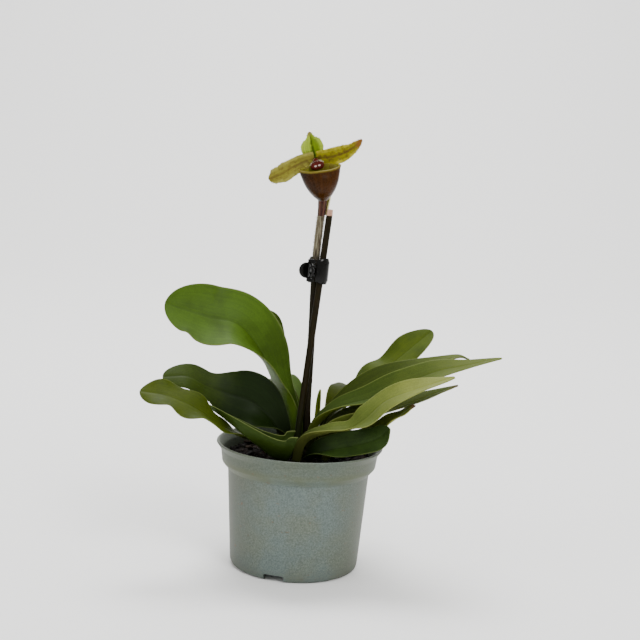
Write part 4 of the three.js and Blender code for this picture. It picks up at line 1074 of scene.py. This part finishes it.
def toe_ring(inset, share):
    """A ring of the pouch's toe, below its last ring, at a share of that ring's size."""
    depth, out = POUCH["toe"]
    base = pouch_ring(POUCH["rings"][-1][0], inset)
    middle = np.array([0, inset - depth, out])
    ring = base * share + middle * (1 - share)
    ring[:, 1] = base[:, 1] + (middle[1] - base[:, 1]) * (1 - share ** 2) ** 0.5
    return ring


def build_pouch(place):
    """The slipper-shaped pouch: a thin cup with a rolled rim, its front creased along the middle."""
    sides, wall, (depth, out) = POUCH["sides"], POUCH["wall"], POUCH["toe"]
    depths = np.concatenate([[0.25, 0.8], np.linspace(1.6, POUCH["rings"][-1][0], 40)])
    # From the toe's inside over the rim to its outside: each ring, its depth's share, how inner it is.
    layers = [(toe_ring(wall, share), 1, 1) for share in (0.45, 0.8)]
    layers += [(pouch_ring(d, wall), d / depth, 1) for d in reversed(depths)]
    layers += [(pouch_ring(0, wall * share) + (0, rise, 0), 0, inner)
               for share, rise, inner in ((0.8, 0.05, 1), (0.5, 0.22, 0.5), (0.2, 0.05, 0))]
    layers += [(pouch_ring(d, 0), d / depth, 0) for d in depths]
    layers += [(toe_ring(0, share), 1, 0) for share in (0.8, 0.45)]
    rings, uv, inner = zip(*layers)
    points = np.concatenate([*rings, [(0, wall - depth, out), (0, -depth, out)]])
    around = np.tile(np.arange(sides) / sides, len(rings))
    uvs = np.concatenate([np.stack([around, np.repeat(uv, sides)], 1), [(0, 1)], [(0, 1)]])
    shape = Shape()
    inner = np.concatenate([np.repeat(inner, sides), [1, 0]])
    shape.add(points, skin(len(rings), sides), uvs, inner=inner)
    count, draw = 260, np.random.default_rng(31)
    roots = pouch_ring(0, wall / 2)[draw.integers(0, sides, count)]
    up = (0, 1, 0) + draw.normal(0, 0.35, (count, 3))
    hairs(shape, roots, up, draw.uniform(0.2, 0.5, count))
    turn = place @ Matrix.Translation((*POUCH["rim"], 0)) @ rotation(POUCH["turn"], "Z")
    fringe = hair_material("pouch_hair", (170, 158, 104), (110, 80, 52))
    shape.build("slipper_pouch", [pouch_material(), fringe], ["pouch"], "pouch", matrix=turn)


def build_column(place):
    """The column: a short stalk and a domed, notched shield with white hairs along its top."""
    shape, sides, reach = Shape(), 64, COLUMN["reach"]
    stalk = [(0, -0.9, COLUMN["root"]), (0, -0.9, 3.3), (0, -1.1, reach)]
    tube(shape, stalk, COLUMN["radius"], sides=28, steps=14)
    thick, flat = COLUMN["shield_thick"], COLUMN["shield_flat"]
    half_width, half_height = COLUMN["shield_width"] / 2, COLUMN["shield_height"] / 2
    tilt = np.array(rotation(COLUMN["tilt"], "X", 3)).T
    middle = (0, -COLUMN["shield_drop"], reach)
    angles = circle(sides)
    notch = (1 - 0.16 * np.exp(-((angles - 1.5 * math.pi) / 0.28) ** 2)
             - 0.08 * np.exp(-((angles - 0.5 * math.pi) / 0.3) ** 2))
    rings = []
    for level in np.linspace(-90, 90, 26)[1:-1]:
        c, z = polar(1, level)
        x, y = half_width * c * np.cos(angles) * notch, half_height * c * np.sin(angles) * notch
        dome = thick * z - flat * (1 - c ** 2) * (z > 0) + 0.25 * np.cos(2 * angles) * c
        rings.append(np.stack([x, y, dome], 1))
    points = np.concatenate([*rings, [(0, 0, -thick), (0, 0, thick - flat)]])
    uv = points[:, :2] / (2 * half_width, 2 * half_height) + 0.5
    shape.add(points @ tilt + middle, skin(len(rings), sides), uv)
    count, draw = 420, np.random.default_rng(41)
    a = draw.uniform(0.1 * math.pi, 0.9 * math.pi, count)
    share = draw.uniform(0.75, 1.0, count)
    roots = np.stack([half_width * share * np.cos(a), half_height * share * np.sin(a),
                      draw.uniform(-0.3, 0.5, count)], 1) @ tilt + middle
    out = np.stack([np.cos(a) * 0.6, np.sin(a), draw.uniform(-0.2, 0.9, count)], 1)
    out = out + draw.normal(0, 0.2, (count, 3))
    hairs(shape, roots, out, draw.uniform(0.5, 1.1, count), radius=0.035)
    white = hair_material("column_hair", (226, 218, 204), (190, 168, 150))
    shape.build("column_shield", [column_material(), white], ["column"], "column", matrix=place)


# ---------------------------------------------------------------- claw clip

hinge = np.array(polar(CLIP["hinge_reach"], CLIP["hinge_angle"]))


def clip_place(scale=1.0):
    """The clip's own frame, its z along the stems."""
    lean = Vector((0, 0, 1)).rotation_difference(Vector(CLIP["lean"])).to_matrix().to_4x4()
    return Matrix.Translation(Vector(CLIP["middle"]) * scale) @ lean


def add_wall(shape, start, end, low, high, ease=0.25, blunt=0.0):
    """Adds a strip of the clip's wall between two angles round the stems, its outer corners eased."""
    inner, outer = CLIP["inner_radius"], CLIP["inner_radius"] + CLIP["wall"]
    levels = np.linspace(-1, 1, 13)
    eased = outer - ease * np.abs(levels) ** 5
    toward = polar(1, CLIP["hinge_angle"] + 180)
    rings = []
    for share in np.linspace(0, 1, 40):
        x, y = polar(1, start + (end - start) * share)
        away = np.dot((outer * x, outer * y) - hinge, toward) - CLIP["oval_middle"]
        limit = CLIP["oval_rise"] * math.sqrt(1 - (away / CLIP["oval_reach"]) ** 2)
        bottom, top = max(low, -limit), min(high, limit)
        # The claws' points are drawn together towards their ends.
        half = (top - bottom) / 2 * (1 - blunt * min(1, max(0, 4 * share - 3)) ** 2)
        z = (bottom + top) / 2 + half * levels
        edges = [(inner * x, inner * y, z[-1]), (inner * x, inner * y, z[0])]
        rings.append(np.concatenate([np.stack([eased * x, eased * y, z], 1), edges]))
    shape.add(capped(rings), skin(len(rings), len(rings[0])))


def add_ring(shape, outer, inner, low, high):
    """Adds a round sleeve about the hinge."""
    sides = 40
    corner = [(outer, low), (outer, high), (inner, high), (inner, low)]
    points = np.array([(r * math.cos(a) + hinge[0], r * math.sin(a) + hinge[1], z)
                       for a in circle(sides) for r, z in corner])
    faces = []
    for k in range(sides):
        a, b = 4 * k, 4 * ((k + 1) % sides)
        faces += [(a + i, b + i, b + (i + 1) % 4, a + (i + 1) % 4) for i in range(4)]
    shape.add(points, faces)


def build_clip_half(name, node, half, body, paint):
    """One moulded half: wall, claws, knuckles and a round finger tab, melted together."""
    high, claw, thick = (CLIP[key] / 2 for key in ("height", "claw_height", "tab_thick"))
    shape = Shape()

    def wall(start, end, low, high, **form):
        start, end = (CLIP["hinge_angle"] + half["sense"] * angle for angle in (start, end))
        add_wall(shape, start, end, low, high, **form)

    wall(CLIP["wall_from"], CLIP["wall_to"], -high, high, ease=0.8)
    for z in half["claws"]:
        wall(CLIP["claw_from"], CLIP["claw_to"], z - claw, z + claw, blunt=0.5)
    knuckle, bore = CLIP["knuckle_radius"], CLIP["pin_radius"] + CLIP["pin_clearance"]
    swing = rotation(CLIP["hinge_angle"] + half["sense"] * CLIP["tab_spread"], "Z", 3)
    near, far = knuckle * 0.8, knuckle + 1.4
    for low, high in half["knuckles"]:
        add_ring(shape, knuckle, bore, low, high)
        points, faces = prism([(near, -thick), (far, -thick), (far, thick), (near, thick)], low, high)
        shape.add(points @ np.array(swing).T + (*hinge, 0), faces)
        wall(CLIP["web_from"], CLIP["web_to"], low, high)
    near, radius = knuckle + 1, CLIP["tab_height"] / 2
    far = CLIP["tab_length"] - radius
    tab = [(far + radius * math.cos(a), radius * math.sin(a))
           for a in np.linspace(-math.pi / 2, math.pi / 2, 36)]
    points, faces = prism([(near, -radius), *tab, (near, radius)], -thick, thick)
    upright = swing @ rotation(90, "X", 3)
    shape.add(points @ np.array(upright).T + (*hinge, 0), faces)
    piece = shape.build(name, [paint], [node], "clip_plastic", body)
    melt = piece.modifiers.new("melt", "REMESH")
    melt.mode, melt.voxel_size = "VOXEL", CLIP["melt"] * MM
    soften = piece.modifiers.new("soften", "SMOOTH")
    soften.factor, soften.iterations = 0.5, 4
    apply_modifiers(piece)
    piece.data.transform(clip_place(MM))
    smooth(piece)


def build_clip():
    """The claw clip that ties the stem to its stake, with its pin and spring."""
    plastic, steel, place = clip_material(), steel_material(), clip_place()
    build_clip_half("clip_half_back", "clip_fixed_half", CLIP_FIXED, "root", plastic)
    build_clip_half("clip_half_front", "clip_moving_half", CLIP_MOVING, "clip_jaw", plastic)
    radius, half = CLIP["pin_radius"], CLIP["pin_length"] / 2
    outline = rounded([(0, -half), (radius, -half), (radius, half), (0, half)], cut=0.2)
    points, faces = turned(outline, sides=24)
    pin = Shape().add(points + (*hinge, 0), faces)
    pin.build("hinge_pin", [steel], ["clip_pin"], "steel", matrix=place)
    steps = int(24 * SPRING["turns"])
    route = [(*(hinge + polar(SPRING["radius"], 15 * i)),
              SPRING["pitch"] * (i / 24 - SPRING["turns"] / 2)) for i in range(steps + 1)]
    coil = Shape()
    tube(coil, route, SPRING["wire"], sides=12, steps=2 * steps, east=(0, 0, 1))
    coil.build("hinge_spring", [steel], ["clip_spring"], "steel", matrix=place)


# ---------------------------------------------------------------- the whole plant

build_pot()
build_bark()
build_growths()
build_leaves()
build_stems()
flower = flower_place()
build_tepals(flower)
build_pouch(flower)
build_column(flower)
build_clip()


# ---------------------------------------------------------------- floor, light and camera

# Round soft lights, in metres and watts: place, what each one points at, how wide it is, its power.
LIGHTS = {
    "key": ((0.42, -0.75, 0.95), (0, 0, 0.1), 0.42, 7.6),
    "fill": ((-0.9, -0.45, 0.5), (0, 0, 0.1), 0.7, 2),
    "top": ((-0.1, 0.35, 1.1), (0, 0, 0.1), 0.6, 5),
    "wall": ((0, 0.9, 2.4), (0, 2.2, 0.5), 1.5, 75),
}
SURROUND = dict(colour=(1.0, 0.99, 0.97, 1), strength=0.86)
# The photograph's camera, as fitted to the pot's rim and foot: millimetres of film, metres, degrees.
CAMERA = dict(sensor=36, lens=67.5, place=(0, -0.63488, 0.21947),
              ahead=(0.010925, 0.991111, -0.132588), roll=3.34, nearest=0.01, farthest=20)


def build_floor():
    """A plain pale floor that sweeps up into a plain pale wall behind."""
    turn = [(1.4 + 1.2 * math.sin(a), 1.2 - 1.2 * math.cos(a)) for a in np.linspace(0, math.pi / 2, 25)]
    line = [(-4, 0), *turn, (2.6, 5)]
    mesh = bpy.data.meshes.new("floor")
    mesh.from_pydata([(x, y, z) for y, z in line for x in (-5, 5)], [],
                     [(2 * i, 2 * i + 1, 2 * i + 3, 2 * i + 2) for i in range(len(line) - 1)])
    floor = placed("floor", mesh)
    smooth(floor)
    paint = Paint("floor_paper")
    colour = paint.mix(paint.noise(0.2, 2), (0.9, 0.9, 0.895, 1), (0.92, 0.92, 0.915, 1))
    mesh.materials.append(paint.finish(colour, 0.9))


def build_studio():
    """Soft light from above and in front, a weaker fill and a pale surround."""
    for name, (place, target, size, power) in LIGHTS.items():
        data = bpy.data.lights.new(name, "AREA")
        data.shape, data.size, data.energy = "DISK", size, power
        light = placed(name, data)
        light.location = place
        light.rotation_euler = (Vector(target) - Vector(place)).to_track_quat("-Z", "Y").to_euler()
    world = bpy.data.worlds.new("studio")
    world.use_nodes = True
    background = world.node_tree.nodes["Background"]
    background.inputs[0].default_value = SURROUND["colour"]
    background.inputs[1].default_value = SURROUND["strength"]
    bpy.context.scene.world = world


def build_camera():
    """The photograph's camera: a little above the pot, tilted down and rolled a few degrees."""
    data = bpy.data.cameras.new("camera")
    data.sensor_width, data.lens = CAMERA["sensor"], CAMERA["lens"]
    data.clip_start, data.clip_end = CAMERA["nearest"], CAMERA["farthest"]
    ahead = Vector(CAMERA["ahead"]).normalized()
    right = ahead.cross(Vector((0, 0, 1))).normalized()
    up = right.cross(ahead)
    c, s = polar(1, CAMERA["roll"])
    turn = Matrix((right * c + up * s, up * c - right * s, -ahead)).transposed().to_4x4()
    camera = placed("camera", data)
    camera.matrix_world = Matrix.Translation(CAMERA["place"]) @ turn
    bpy.context.scene.camera = camera


build_floor()
build_studio()
build_camera()
